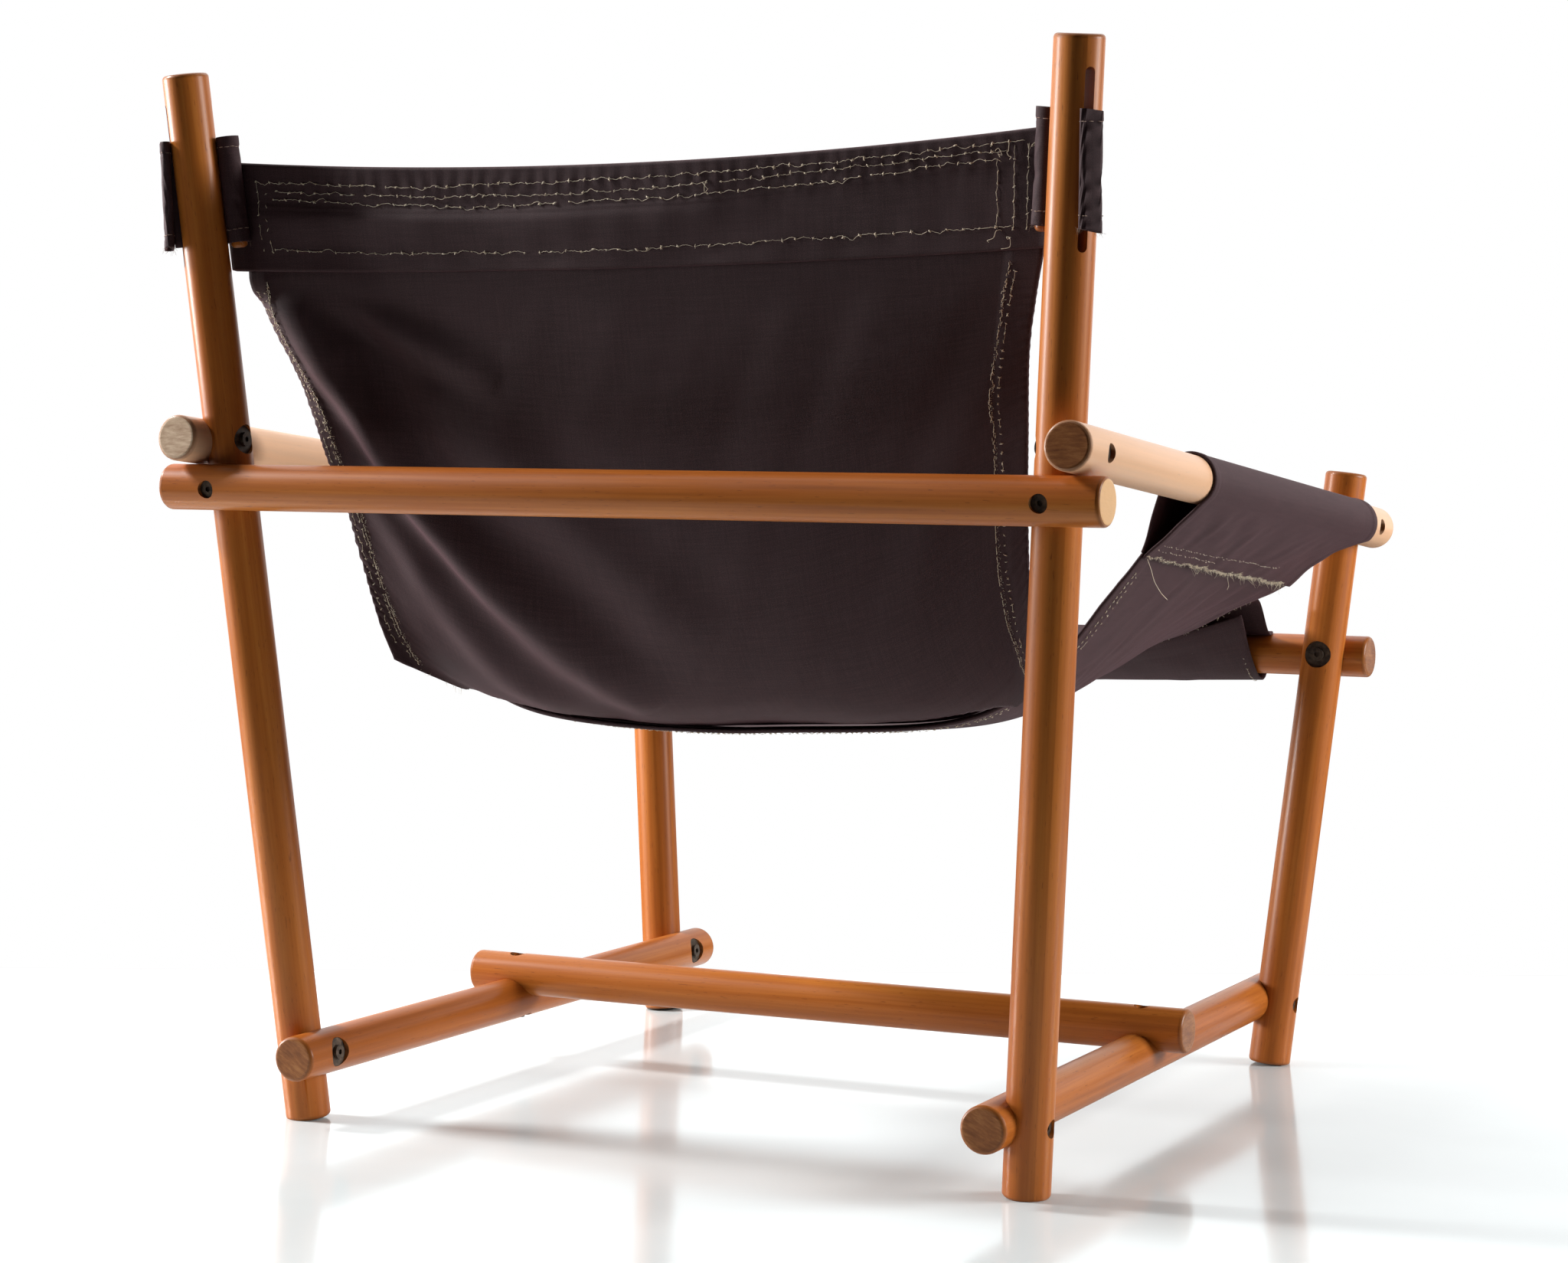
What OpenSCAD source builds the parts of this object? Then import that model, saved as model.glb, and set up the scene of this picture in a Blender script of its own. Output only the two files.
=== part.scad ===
// Lounge chair of round beech dowels with a hung canvas sling.
// Eleven dowels of one diameter cross in housed laps, each held by a bolt and a
// sleeve nut. The sling hangs from slots in the rear posts by cloth toggles, and
// from cloth sleeves round the arm rails and the seat rail.
// The chair faces -Y, +Z is up, and the origin is on the floor under its middle.

/* [Dowels] */
// Diameter of every frame dowel
dowel_d = 35; // [30:0.5:40]
// Rounding at the ends of the dowels
end_round = 3; // [1.5:0.5:3.5]
// How far two crossing dowels are let into each other in all
lap_bite = 15; // [9:0.5:17]
// Clearance left in each lap
lap_gap = 0.1; // [0.05:0.05:0.3]

/* [Posts] */
// Height of the rear posts
rear_post_h = 806; // [760:1:860]
// Height of the front posts
front_post_h = 504; // [490:1:560]
// Distance between the rear feet, axis to axis
rear_foot_span = 606; // [560:1:660]
// Distance between the front feet, axis to axis
front_foot_span = 586; // [540:1:640]
// Distance from the front feet to the rear feet, axis to axis
foot_depth = 572; // [520:1:620]
// How far the top of a rear post leans out to the side
rear_lean_out = 60; // [40:1:75]
// How far the top of a rear post leans back
rear_lean_back = 72.5; // [50:0.5:90]
// How far the top of a front post leans out to the side
front_lean_out = 47.5; // [35:0.5:60]
// How far the top of a front post leans forward
front_lean_fwd = 43; // [30:1:55]

/* [Rails] */
// Height of the arm rail's axis where it crosses the rear post
arm_rear_h = 529; // [500:1:560]
// Height of the arm rail's axis where it crosses the front post
arm_front_h = 462; // [440:1:480]
// Arm rail's length behind the rear bolt
arm_rear_over = 40; // [22:1:60]
// Arm rail's length in front of the front bolt
arm_front_over = 35; // [25:1:50]
// Back rail's length past each bolt
back_rail_over = 44; // [42:1:60]
// Height of the seat rail's axis where it crosses the front posts
seat_rail_h = 349; // [330:1:370]
// Seat rail's length past each bolt
seat_rail_over = 36; // [25:1:50]
// Gap between the arm rail and the back rail below it
rail_gap = 0.4; // [0.3:0.1:2]

/* [Stretchers] */
// Height of the side stretchers' axes
stretcher_h = 52.5; // [40:0.5:90]
// Side stretcher's length behind the rear bolt
stretcher_rear_over = 39.5; // [25:0.5:50]
// Side stretcher's length in front of the front bolt
stretcher_front_over = 33.5; // [25:0.5:50]
// Place of the cross stretcher, forward of the middle of the chair
cross_fwd = 8.5; // [-60:0.5:80]
// Cross stretcher's length past each bolt
cross_over = 38.5; // [25:0.5:50]

/* [Fasteners] */
// Diameter of the bolt's shank
bolt_d = 6; // [5:0.5:8]
// Diameter of the bolt's button head
bolt_head_d = 11; // [10:0.5:13]
// Thickness of the bolt's head
bolt_head_t = 3.2; // [2.5:0.1:4]
// Hexagon socket in the bolt's head and in the nut, across corners
hex_socket_d = 4.6; // [3:0.1:6]
// Depth of the hexagon sockets
hex_socket_depth = 2; // [1:0.1:2.2]
// Diameter of the washer under the head
washer_d = 22; // [18:0.5:24]
// Thickness of the washer
washer_t = 1.6; // [1:0.1:2.5]
// Depth of the flat seat that the washer lies on, from the dowel's crown
washer_seat = 5.2; // [4.5:0.1:7]
// Diameter of the sleeve nut's flange
nut_flange_d = 13; // [12:0.5:15]
// Thickness of the sleeve nut's flange
nut_flange_t = 2.4; // [2.3:0.1:3]
// Outer diameter of the sleeve nut's barrel
nut_barrel_d = 9; // [8.6:0.1:10]
// Length of the sleeve nut's barrel
nut_barrel_l = 15; // [12:1:20]
// Depth of the flat seat that the nut's flange lies on, from the dowel's crown
nut_seat = 5.8; // [5:0.1:7]
// Clearance round the fasteners in the wood
hole_gap = 0.15; // [0.1:0.05:0.4]

/* [Toggles] */
// Distance of the middle of the cloth rolls below the top of the rear post
roll_drop = 89; // [80:1:120]
// Length of the cloth rolls
roll_l = 80; // [60:1:90]
// Diameter of the round pins in the inner rolls
pin_d = 12.4; // [9:0.1:14]
// Length of the toggle pins
pin_l = 76; // [56:1:84]
// How far the inner pins sit below the middle of their rolls
pin_drop = 6; // [0:0.5:8]
// Rounding at the ends of the inner pins
pin_round = 3; // [1:0.5:4]
// Width of the flat pins in the outer rolls
slat_w = 13.2; // [10:0.1:15]
// Thickness of the flat pins
slat_t = 3.2; // [2.5:0.1:5]
// Thickness of the cloth round the flat pins
slat_wall = 1.5; // [1.2:0.1:2]
// Lean of the outer rolls away from the post at their lower end, in degrees
slat_lean = 4; // [0:0.5:6]
// Clearance between a pin and its cloth roll, all round
pin_gap = 0.3; // [0.25:0.05:0.6]
// Thickness of the cloth round the inner pins
roll_wall = 1.9; // [1.5:0.1:3]
// Thickness of the tab that passes through the slot
tab_t = 4; // [3:0.1:5]
// Width of the slot in the rear post
slot_w = 7.3; // [7:0.1:9]
// Length of the slot above the middle of the rolls
slot_above = 68; // [56:1:72]
// Length of the slot below the middle of the rolls
slot_below = 55; // [52:1:70]
// Turn of the slot from straight back towards the outside, in degrees
slot_turn = 50; // [35:1:65]
// Turn of the inner rolls round the post, inwards from the slot, in degrees
inner_turn = 16; // [0:1:18]

/* [Sling] */
// Thickness of one layer of canvas
cloth_t = 1.5; // [1:0.1:2]
// Gap between two layers of the sling
layer_gap = 0.6; // [0.5:0.05:1]
// Gap between the sling and the wood
wood_gap = 0.3; // [0.3:0.05:0.8]
// Thickness of the doubled back band
band_t = 3; // [2:0.1:4]
// Height of the back band's top edge above the middle of the rolls, at its ends
band_rise = 27; // [15:1:34]
// Height of the back band
band_w = 88; // [70:1:100]
// How far the back band's ends reach past the inner rolls' axes
band_past = 14; // [0:1:16]
// Sag of the back band's top edge at its middle
band_sag = 14; // [0:1:25]
// Half of the back panel's width at its lower corners
back_low_half = 273; // [250:1:285]
// Height of the back panel's lower corners
back_corner_h = 356; // [345:1:375]
// Distance of the back panel's lower corners behind the seat's rear hem
back_corner_back = 58; // [45:1:75]
// Bulge of the back panel between its side edges
back_bulge = 20; // [0:1:30]
// Height of the folds that run across the back panel
back_fold = 5; // [0:0.5:9]
// Lowest height of the seat, at the middle of its width
seat_low_h = 300.5; // [290:0.5:310]
// Place of the seat's lowest line, behind the middle of the chair
seat_low_y = 30; // [0:1:60]
// Half of the seat panel's width under the seat rail
seat_front_half = 265; // [240:1:280]
// How much further the seat panel reaches to each side on top of the seat rail
seat_spread = 11; // [0:1:16]
// Slack of the cloth below the seat rail
front_slack = 9.5; // [6:0.5:20]
// Drop of the arm sleeve's seam below the arm rail's axis
seam_drop = 56; // [50:1:70]
// Distance of the arm sleeve's seam inside the arm rail's axis
seam_in = 37; // [30:1:45]
// Length of the arm sleeve along the arm rail, from front to back
sleeve_l = 421; // [390:1:440]
// Gap between the arm sleeve and the front post
sleeve_post_gap = 8; // [3:1:25]
// Distance the sleeve's front edge runs back between the rail and the seam
sleeve_cutback = 66; // [20:1:76]
// Width of the hem with which the outer flap laps over the cross panel
flap_hem = 1; // [0:1:14]
// Distance of the cross panel's rear hem behind the arm sleeves, at its middle
cross_rear_past = 28; // [15:1:40]
// Distance of the cross panel's front hem behind the sleeves' front ends, at its middle
cross_front_back = 77; // [60:1:95]
// Length of the back panel's lower end that lies over the seat
tuck_l = 45; // [30:1:60]
// Distance of the seat panel's front hem behind the seat rail's axis, under the seat
front_hem_back = 56; // [45:1:65]

/* [Hidden] */
$fn = 48;

wood_colour = "#c07a3a";
cloth_colour = "#3b2b30";
steel_colour = "#3a3531";

// Vectors and lines
function unit(v) = v / norm(v);
function at_height(p, q, z) = p + (q - p) * (z - p.z) / (q.z - p.z);
function at_depth(p, q, y) = p + (q - p) * (y - p.y) / (q.y - p.y);
function mix(a, b, t) = a + (b - a) * t;
function ramp(t) = let (c = min(1, max(0, t))) c * c * (3 - 2 * c);

// Axes of the posts on the left side, from the floor to the top
dowel_r = dowel_d / 2;
axis_gap = dowel_d - lap_bite;
sleeve_r = pin_d / 2 + pin_gap + roll_wall;
bore_r = pin_d / 2 + pin_gap;
roll_off = dowel_r + wood_gap + sleeve_r;
// The flat rolls touch the post at their upper end only
flat_w = slat_w + 2 * (pin_gap + slat_wall);
flat_t = slat_t + 2 * (pin_gap + slat_wall);
slat_off = dowel_r + wood_gap + flat_t / 2 / cos(slat_lean) + roll_l / 2 * tan(slat_lean);
// The origin is midway between the arm rails' front ends and whichever reaches furthest back:
// the rear posts' tops, the outer cloth rolls' tops or the arm rails' rear ends
arm_slope = atan((arm_rear_h - arm_front_h) / foot_depth);
front_reach = front_lean_fwd * arm_front_h / front_post_h + arm_front_over * cos(arm_slope)
  + (dowel_r - end_round) * sin(arm_slope);
roll_reach = rear_lean_back * (rear_post_h - roll_drop + roll_l / 2) / rear_post_h
  + cos(slot_turn) * (slat_off - roll_l / 2 * tan(slat_lean))
  + sin(slot_turn) * (flat_w - flat_t) / 2 + flat_t / 2;
post_reach = rear_lean_back * (1 - end_round / rear_post_h)
  + dowel_r * cos(atan(rear_lean_back / rear_post_h));
arm_reach = rear_lean_back * arm_rear_h / rear_post_h + arm_rear_over * cos(arm_slope)
  + (dowel_r - end_round) * sin(arm_slope);
rear_reach = max(roll_reach, post_reach, arm_reach);
rear_foot_back = (foot_depth + front_reach - rear_reach) / 2;
rear_foot = [rear_foot_span / 2, rear_foot_back, 0];
rear_top = [rear_foot.x + rear_lean_out, rear_foot.y + rear_lean_back, rear_post_h];
front_foot = [front_foot_span / 2, rear_foot_back - foot_depth, 0];
front_top = [front_foot.x + front_lean_out, front_foot.y - front_lean_fwd, front_post_h];
rear_dir = unit(rear_top - rear_foot);
front_dir = unit(front_top - front_foot);
// The end face starts this far above the floor on the axis, and the lean cuts it flat
foot_start = 0.6;

// Arm rail: outside both posts, one axis gap away from each along the bolt
arm_rear_post = at_height(rear_foot, rear_top, arm_rear_h);
arm_front_post = at_height(front_foot, front_top, arm_front_h);
arm_run = unit(arm_front_post - arm_rear_post);
arm_rear_out = unit(cross(rear_dir, arm_run));
arm_front_out = unit(cross(front_dir, arm_run));
arm_rear = arm_rear_post + arm_rear_out * axis_gap;
arm_front = arm_front_post + arm_front_out * axis_gap;
arm_dir = unit(arm_front - arm_rear);
arm_start = arm_rear - arm_dir * arm_rear_over;
arm_end = arm_front + arm_dir * arm_front_over;
function arm_at(y) = at_depth(arm_rear, arm_front, y);

// Back rail: behind the rear posts, just under the arm rails
across = [1, 0, 0];
back_out = unit(cross(across, rear_dir)) * -1;
back_rail_y0 = at_height(rear_foot, rear_top, arm_rear_h - dowel_d).y + axis_gap;
back_post_z = arm_at(back_rail_y0).z - (dowel_d + rail_gap) * norm([arm_dir.y, arm_dir.z])
  / abs(arm_dir.y) - back_out.z * axis_gap;
back_post = at_height(rear_foot, rear_top, back_post_z);
back_rail_pt = back_post + back_out * axis_gap;

// Seat rail: in front of the front posts
seat_out = unit(cross(across, front_dir));
seat_post = at_height(front_foot, front_top, seat_rail_h);
seat_rail_pt = seat_post + seat_out * axis_gap;

// Side stretcher: inside both posts
str_rear_post = at_height(rear_foot, rear_top, stretcher_h);
str_front_post = at_height(front_foot, front_top, stretcher_h);
str_run = unit(str_front_post - str_rear_post);
str_rear = str_rear_post - unit(cross(rear_dir, str_run)) * axis_gap;
str_front = str_front_post - unit(cross(front_dir, str_run)) * axis_gap;
str_dir = unit(str_front - str_rear);
str_start = str_rear - str_dir * stretcher_rear_over;
str_end = str_front + str_dir * stretcher_front_over;

// Cross stretcher: on top of the side stretchers
cross_side = at_depth(str_rear, str_front, -cross_fwd);
cross_pt = cross_side + unit(cross(across, str_dir)) * -axis_gap;

// Each joint is two axis points: first the dowel with the bolt's head, then the nut's
joint_back = [back_post, back_rail_pt];
joint_arm_rear = [arm_rear_post, arm_rear];
joint_arm_front = [arm_front_post, arm_front];
joint_str_rear = [str_rear, str_rear_post];
joint_str_front = [str_front, str_front_post];
joint_cross = [cross_side, cross_pt];
joint_seat = [seat_post, seat_rail_pt];
all_joints = [joint_back, joint_arm_rear, joint_arm_front, joint_str_rear,
  joint_str_front, joint_cross, joint_seat];

// Toggles, in the rear post's own frame: z up the post, x out along the slot
roll_mid = at_height(rear_foot, rear_top, rear_post_h - roll_drop);
inner_at = [-cos(inner_turn), sin(inner_turn), 0] * roll_off;
inner_way = [sin(slot_turn + inner_turn), cos(slot_turn + inner_turn), 0];
function inner_roll(z) = at_height(rear_foot, rear_top, z) - inner_way * roll_off;

// Back band: its ends lie against the front of the inner rolls
band_off = sleeve_r + wood_gap + band_t / 2;
band_top_h = roll_mid.z + band_rise;
band_bottom_h = band_top_h - band_w;
function band_half(z) = inner_roll(z).x + band_past;
function band_y(z) = inner_roll(z).y - band_off;

// Arm sleeve and cross panel: their front and rear ends
sleeve_front_y = arm_front_post.y + dowel_r + sleeve_post_gap;
sleeve_rear_y = sleeve_front_y + sleeve_l;
seam_front_y = sleeve_front_y + sleeve_cutback;
cross_rear_y = sleeve_rear_y + cross_rear_past;
cross_front_y = sleeve_front_y + cross_front_back;

// Seat: the cloth leaves the seat rail at a tangent, and its middle line is a parabola from there
wrap_r = dowel_r + wood_gap + cloth_t / 2;
wrap_end = 100;
wrap_steps = 7;
// Largest angle at which the seat leaves the rail
leave_most = 22;
// The wrap's corners stand out a little, so that its flat facets clear the wood
seat_wrap_r = wrap_r / cos((wrap_end + leave_most) / wrap_steps / 2);
function leaving(a) = atan(2 * (seat_rail_pt.z - seat_low_h + seat_wrap_r * cos(a))
  / (seat_low_y - seat_rail_pt.y - seat_wrap_r * sin(a)));
leave_angle = leaving(leaving(leaving(leaving(20))));
leave_y = seat_rail_pt.y + seat_wrap_r * sin(leave_angle);
seat_curve = tan(leave_angle) / (2 * (seat_low_y - leave_y));
function seam_x(y) = arm_at(y).x - seam_in;
function seam_z(y) = arm_at(y).z - seam_drop;
function mid_z(y) = seat_low_h + seat_curve * pow(y - seat_low_y, 2);
function bend(r, r0, w) = (r - r0) + sqrt(pow(r - r0, 2) + w * w);
function rise(r, r0, w) = (bend(r, r0, w) - bend(0, r0, w)) / (bend(1, r0, w) - bend(0, r0, w));
rear_bend = 0.7;
front_bend = 0.5;
rear_soft = 0.15;
front_soft = 0.25;
flat_run = 42;
// The slope goes on this far past the seam, as a share of the half width
past_seam = 1.08;
function fore(y) = ramp((sleeve_rear_y - y) / sleeve_l);
function pan_z(x, y) = let (
    f = fore(y),
    level = ramp((y - leave_y) / flat_run)
  ) mid_z(y) + level * (seam_z(y) - mid_z(y))
    * rise(min(past_seam, abs(x) / seam_x(y)), mix(rear_bend, front_bend, f), mix(rear_soft, front_soft, f));
layer = cloth_t + layer_gap;
// Height of a sheet that lies a number of layers above the cross panel, square to it
function steepness(x, y) = let (d = 0.5) norm([
  pan_z(x + d, y) - pan_z(x - d, y), pan_z(x, y + d) - pan_z(x, y - d), 2 * d]) / (2 * d);
function lifted_z(x, y, layers) = pan_z(x, y) + layers * layer * steepness(x, y);

// Lines across the seat and the cross panel, closer together where both bend up to the arms
across_steps = 24;
flat_part = 5 / 12;
bend_part = 11 / 12;
bend_from = 0.6;
bend_to = 0.9;
function rib(a) = a < flat_part ? bend_from * a / flat_part
  : a < bend_part ? mix(bend_from, bend_to, (a - flat_part) / (bend_part - flat_part))
  : mix(bend_to, 1, (a - bend_part) / (1 - bend_part));

// A cloth sheet: a grid of points from a function of u and v, given its thickness
function normal_at(p, u, v) = let (d = 0.002)
  unit(cross(p(min(1, u + d), v) - p(max(0, u - d), v), p(u, min(1, v + d)) - p(u, max(0, v - d))));
module sheet(p, nu, nv, thick) {
  m = nv + 1;
  pts = [for (s = [0.5, -0.5]) for (i = [0:nu]) for (j = [0:nv])
    p(i / nu, j / nv) + normal_at(p, i / nu, j / nv) * thick * s];
  half = (nu + 1) * m;
  function at(side, i, j) = side * half + i * m + j;
  quads = concat(
    [for (i = [0:nu - 1]) for (j = [0:nv - 1])
      [at(0, i, j), at(0, i, j + 1), at(0, i + 1, j + 1), at(0, i + 1, j)]],
    [for (i = [0:nu - 1]) for (j = [0:nv - 1])
      [at(1, i, j), at(1, i + 1, j), at(1, i + 1, j + 1), at(1, i, j + 1)]],
    [for (i = [0:nu - 1]) [at(0, i, 0), at(0, i + 1, 0), at(1, i + 1, 0), at(1, i, 0)]],
    [for (i = [0:nu - 1]) [at(0, i, nv), at(1, i, nv), at(1, i + 1, nv), at(0, i + 1, nv)]],
    [for (j = [0:nv - 1]) [at(0, 0, j), at(1, 0, j), at(1, 0, j + 1), at(0, 0, j + 1)]],
    [for (j = [0:nv - 1]) [at(0, nu, j), at(0, nu, j + 1), at(1, nu, j + 1), at(1, nu, j)]]);
  faces = [for (q = quads) each [[q[0], q[1], q[2]], [q[0], q[2], q[3]]]];
  polyhedron(points = pts, faces = faces, convexity = 10);
}

// Placing along an axis, and mirroring to the right side
module place(p, dir) {
  translate(p) rotate([0, acos(dir.z), atan2(dir.y, dir.x)]) children();
}
module right_side() {
  mirror([1, 0, 0]) children();
}
module both_sides() {
  children();
  right_side() children();
}

// A round bar that stands on the origin, with rounded ends
module turned(r, round, len) {
  steps = 4;
  arc_low = [for (i = [0:steps]) let (a = 90 * i / steps)
    [r - round + round * sin(a), round - round * cos(a)]];
  arc_high = [for (i = [0:steps]) let (a = 90 * i / steps)
    [r - round + round * cos(a), len - round + round * sin(a)]];
  rotate_extrude($fn = 64) polygon(concat([[0, 0]], arc_low, arc_high, [[0, len]]));
}
// A dowel from p to q
module bar(p, q) {
  place(p, unit(q - p)) turned(dowel_r, end_round, norm(q - p));
}

// What a lap takes out of one dowel: the other dowel, up to the plane between the two
module lap(own, other, dir) {
  away = unit(other - own);
  reach = 2 * dowel_d;
  intersection() {
    place(other - dir * reach, dir) cylinder(r = dowel_r + lap_gap / 2, h = 2 * reach, $fn = 64);
    place((own + other) / 2 - away * lap_gap / 2, away)
      translate([-reach, -reach, 0]) cube([2 * reach, 2 * reach, reach]);
  }
}

// Distances along a bolt from the plane between the two dowels
crown = axis_gap / 2 + dowel_r;
washer_floor = crown - washer_seat;
nut_floor = crown - nut_seat;
bolt_tip = nut_floor - nut_flange_t + 0.2;
module at_joint(j) {
  place((j[0] + j[1]) / 2, unit(j[1] - j[0])) children();
}
module bolt_room(j) {
  at_joint(j) {
    translate([0, 0, -crown - dowel_r]) cylinder(d = washer_d + 4 * hole_gap, h = dowel_r + washer_seat);
    translate([0, 0, -crown]) cylinder(d = bolt_d + 2 * hole_gap, h = 2 * crown);
    translate([0, 0, nut_floor - nut_barrel_l - 2])
      cylinder(d = nut_barrel_d + 2 * hole_gap, h = nut_barrel_l + 4);
    translate([0, 0, nut_floor]) cylinder(d = nut_flange_d + 4 * hole_gap, h = dowel_r + nut_seat);
  }
}
module one_bolt(j) {
  at_joint(j) difference() {
    union() {
      translate([0, 0, -washer_floor - washer_t - bolt_head_t])
        cylinder(d = bolt_head_d, h = bolt_head_t);
      translate([0, 0, -washer_floor - washer_t])
        cylinder(d = bolt_d, h = washer_floor + washer_t + bolt_tip);
    }
    translate([0, 0, -washer_floor - washer_t - bolt_head_t - 1])
      cylinder(d = hex_socket_d, h = hex_socket_depth + 1, $fn = 6);
  }
}
module one_washer(j) {
  at_joint(j) translate([0, 0, -washer_floor - washer_t]) difference() {
    cylinder(d = washer_d, h = washer_t);
    translate([0, 0, -1]) cylinder(d = bolt_d + 2 * hole_gap, h = washer_t + 2);
  }
}
module one_nut(j) {
  at_joint(j) difference() {
    union() {
      translate([0, 0, nut_floor]) cylinder(d = nut_flange_d, h = nut_flange_t);
      translate([0, 0, nut_floor - nut_barrel_l]) cylinder(d = nut_barrel_d, h = nut_barrel_l + 1);
    }
    translate([0, 0, nut_floor - nut_barrel_l - 1])
      cylinder(d = bolt_d + 2 * hole_gap, h = nut_barrel_l + 0.5);
    translate([0, 0, nut_floor + nut_flange_t - hex_socket_depth])
      cylinder(d = hex_socket_d, h = hex_socket_depth + 1, $fn = 6);
  }
}

// Rear post frame for the slot and the toggles, centred on the rolls
module toggle_frame() {
  place(roll_mid, rear_dir) rotate([0, 0, 90 - slot_turn - atan2(rear_dir.y, rear_dir.x)]) children();
}

// Everything under the floor, which cuts the leaning posts flat
module below_floor() {
  side = 2 * rear_foot_span;
  translate([-side / 2, -side / 2, -dowel_d]) cube([side, side, dowel_d]);
}

module rear_post() {
  up = slot_above - slot_w / 2;
  down = slot_below - slot_w / 2;
  through = dowel_d + 20;
  color(wood_colour) difference() {
    bar(rear_foot + rear_dir * foot_start, rear_top);
    below_floor();
    lap(back_post, back_rail_pt, across);
    lap(arm_rear_post, arm_rear, arm_dir);
    lap(str_rear_post, str_rear, str_dir);
    bolt_room(joint_back);
    bolt_room(joint_arm_rear);
    bolt_room(joint_str_rear);
    toggle_frame() {
      translate([-through / 2, -slot_w / 2, -down]) cube([through, slot_w, up + down]);
      for (z = [-down, up]) translate([-through / 2, 0, z]) rotate([0, 90, 0])
        cylinder(d = slot_w, h = through);
    }
  }
}

module front_post() {
  color(wood_colour) difference() {
    bar(front_foot + front_dir * foot_start, front_top);
    below_floor();
    lap(seat_post, seat_rail_pt, across);
    lap(arm_front_post, arm_front, arm_dir);
    lap(str_front_post, str_front, str_dir);
    bolt_room(joint_seat);
    bolt_room(joint_arm_front);
    bolt_room(joint_str_front);
  }
}

module arm_rail() {
  color(wood_colour) difference() {
    bar(arm_start, arm_end);
    lap(arm_rear, arm_rear_post, rear_dir);
    lap(arm_front, arm_front_post, front_dir);
    bolt_room(joint_arm_rear);
    bolt_room(joint_arm_front);
  }
}

module side_stretcher() {
  color(wood_colour) difference() {
    bar(str_start, str_end);
    lap(str_rear, str_rear_post, rear_dir);
    lap(str_front, str_front_post, front_dir);
    lap(cross_side, cross_pt, across);
    bolt_room(joint_str_rear);
    bolt_room(joint_str_front);
    bolt_room(joint_cross);
  }
}

// A dowel across the chair, let in at one joint on each side
module cross_bar(j, past, other_dir) {
  tip = [j[1].x + past, j[1].y, j[1].z];
  color(wood_colour) difference() {
    bar([-tip.x, tip.y, tip.z], tip);
    both_sides() {
      lap(j[1], j[0], other_dir);
      bolt_room(j);
    }
  }
}
module back_rail() {
  cross_bar(joint_back, back_rail_over, rear_dir);
}
module seat_rail() {
  cross_bar(joint_seat, seat_rail_over, front_dir);
}
module cross_stretcher() {
  cross_bar(joint_cross, cross_over, str_dir);
}

module joint_bolts() {
  color(steel_colour) both_sides() for (j = all_joints) one_bolt(j);
}
module joint_washers() {
  color(steel_colour) both_sides() for (j = all_joints) one_washer(j);
}
module sleeve_nuts() {
  color(steel_colour) both_sides() for (j = all_joints) one_nut(j);
}

// Toggle: a round roll inside the post and a flat one outside, joined by a tab through the slot
module outer_place() {
  translate([slat_off, 0, 0]) rotate([0, -slat_lean, 0]) children();
}
// A flat bar with round edges, centred on the origin
module flat_bar(w, t, len) {
  translate([-t / 2, -(w - t) / 2, -len / 2]) cube([t, w - t, len]);
  for (y = [-1, 1] * (w - t) / 2) translate([0, y, -len / 2]) cylinder(d = t, h = len);
}
module toggle_loop() {
  color(cloth_colour) toggle_frame() difference() {
    union() {
      translate(inner_at) translate([0, 0, -roll_l / 2]) cylinder(r = sleeve_r, h = roll_l);
      translate([inner_at.x, -tab_t / 2, -roll_l / 2]) cube([slat_off - inner_at.x, tab_t, roll_l]);
      outer_place() flat_bar(flat_w, flat_t, roll_l);
    }
    translate(inner_at) translate([0, 0, -roll_l / 2 - 1]) cylinder(r = bore_r, h = roll_l + 2);
    outer_place() flat_bar(slat_w + 2 * pin_gap, slat_t + 2 * pin_gap, roll_l + 6);
  }
}
module inner_pin() {
  color(wood_colour) toggle_frame() translate(inner_at) translate([0, 0, -pin_l / 2 - pin_drop])
    turned(pin_d / 2, pin_round, pin_l);
}
module outer_pin() {
  color(wood_colour) toggle_frame() outer_place() flat_bar(slat_w, slat_t, pin_l);
}

module back_band() {
  p = function (u, v) let (
      s = 2 * u - 1,
      slack = 1 - s * s,
      z = mix(band_bottom_h, band_top_h, v)
    ) [s * band_half(z), band_y(z), z - slack * band_sag * v];
  color(cloth_colour) sheet(p, 20, 3, band_t);
}

// Back panel: from behind the top of the band down to the crease and over the seat's rear
panel_top_drop = 14;
// The panel's sides stay this far inside the inner rolls' axes
panel_inset = 3;
function panel_half(z) = inner_roll(z).x - panel_inset;
panel_top_h = band_top_h - panel_top_drop;
panel_off = band_t / 2 + layer_gap + cloth_t / 2;
panel_tuck_y = cross_rear_y - tuck_l;
back_corner_y = cross_rear_y + back_corner_back;
// The panel lies this much higher over the seat, which clears the seat's flat facets
tuck_lift = 1.2;
// Where the straight part of the panel's middle ends and its turn to the seat begins
turn_back = 24;
turn_up = 44;
panel_turn_y = back_corner_y + turn_back;
panel_turn_z = back_corner_h + turn_up;
// Shares of the panel's length: behind the band, and down to the turn
band_share = 0.15;
flat_share = 0.6;
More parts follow.
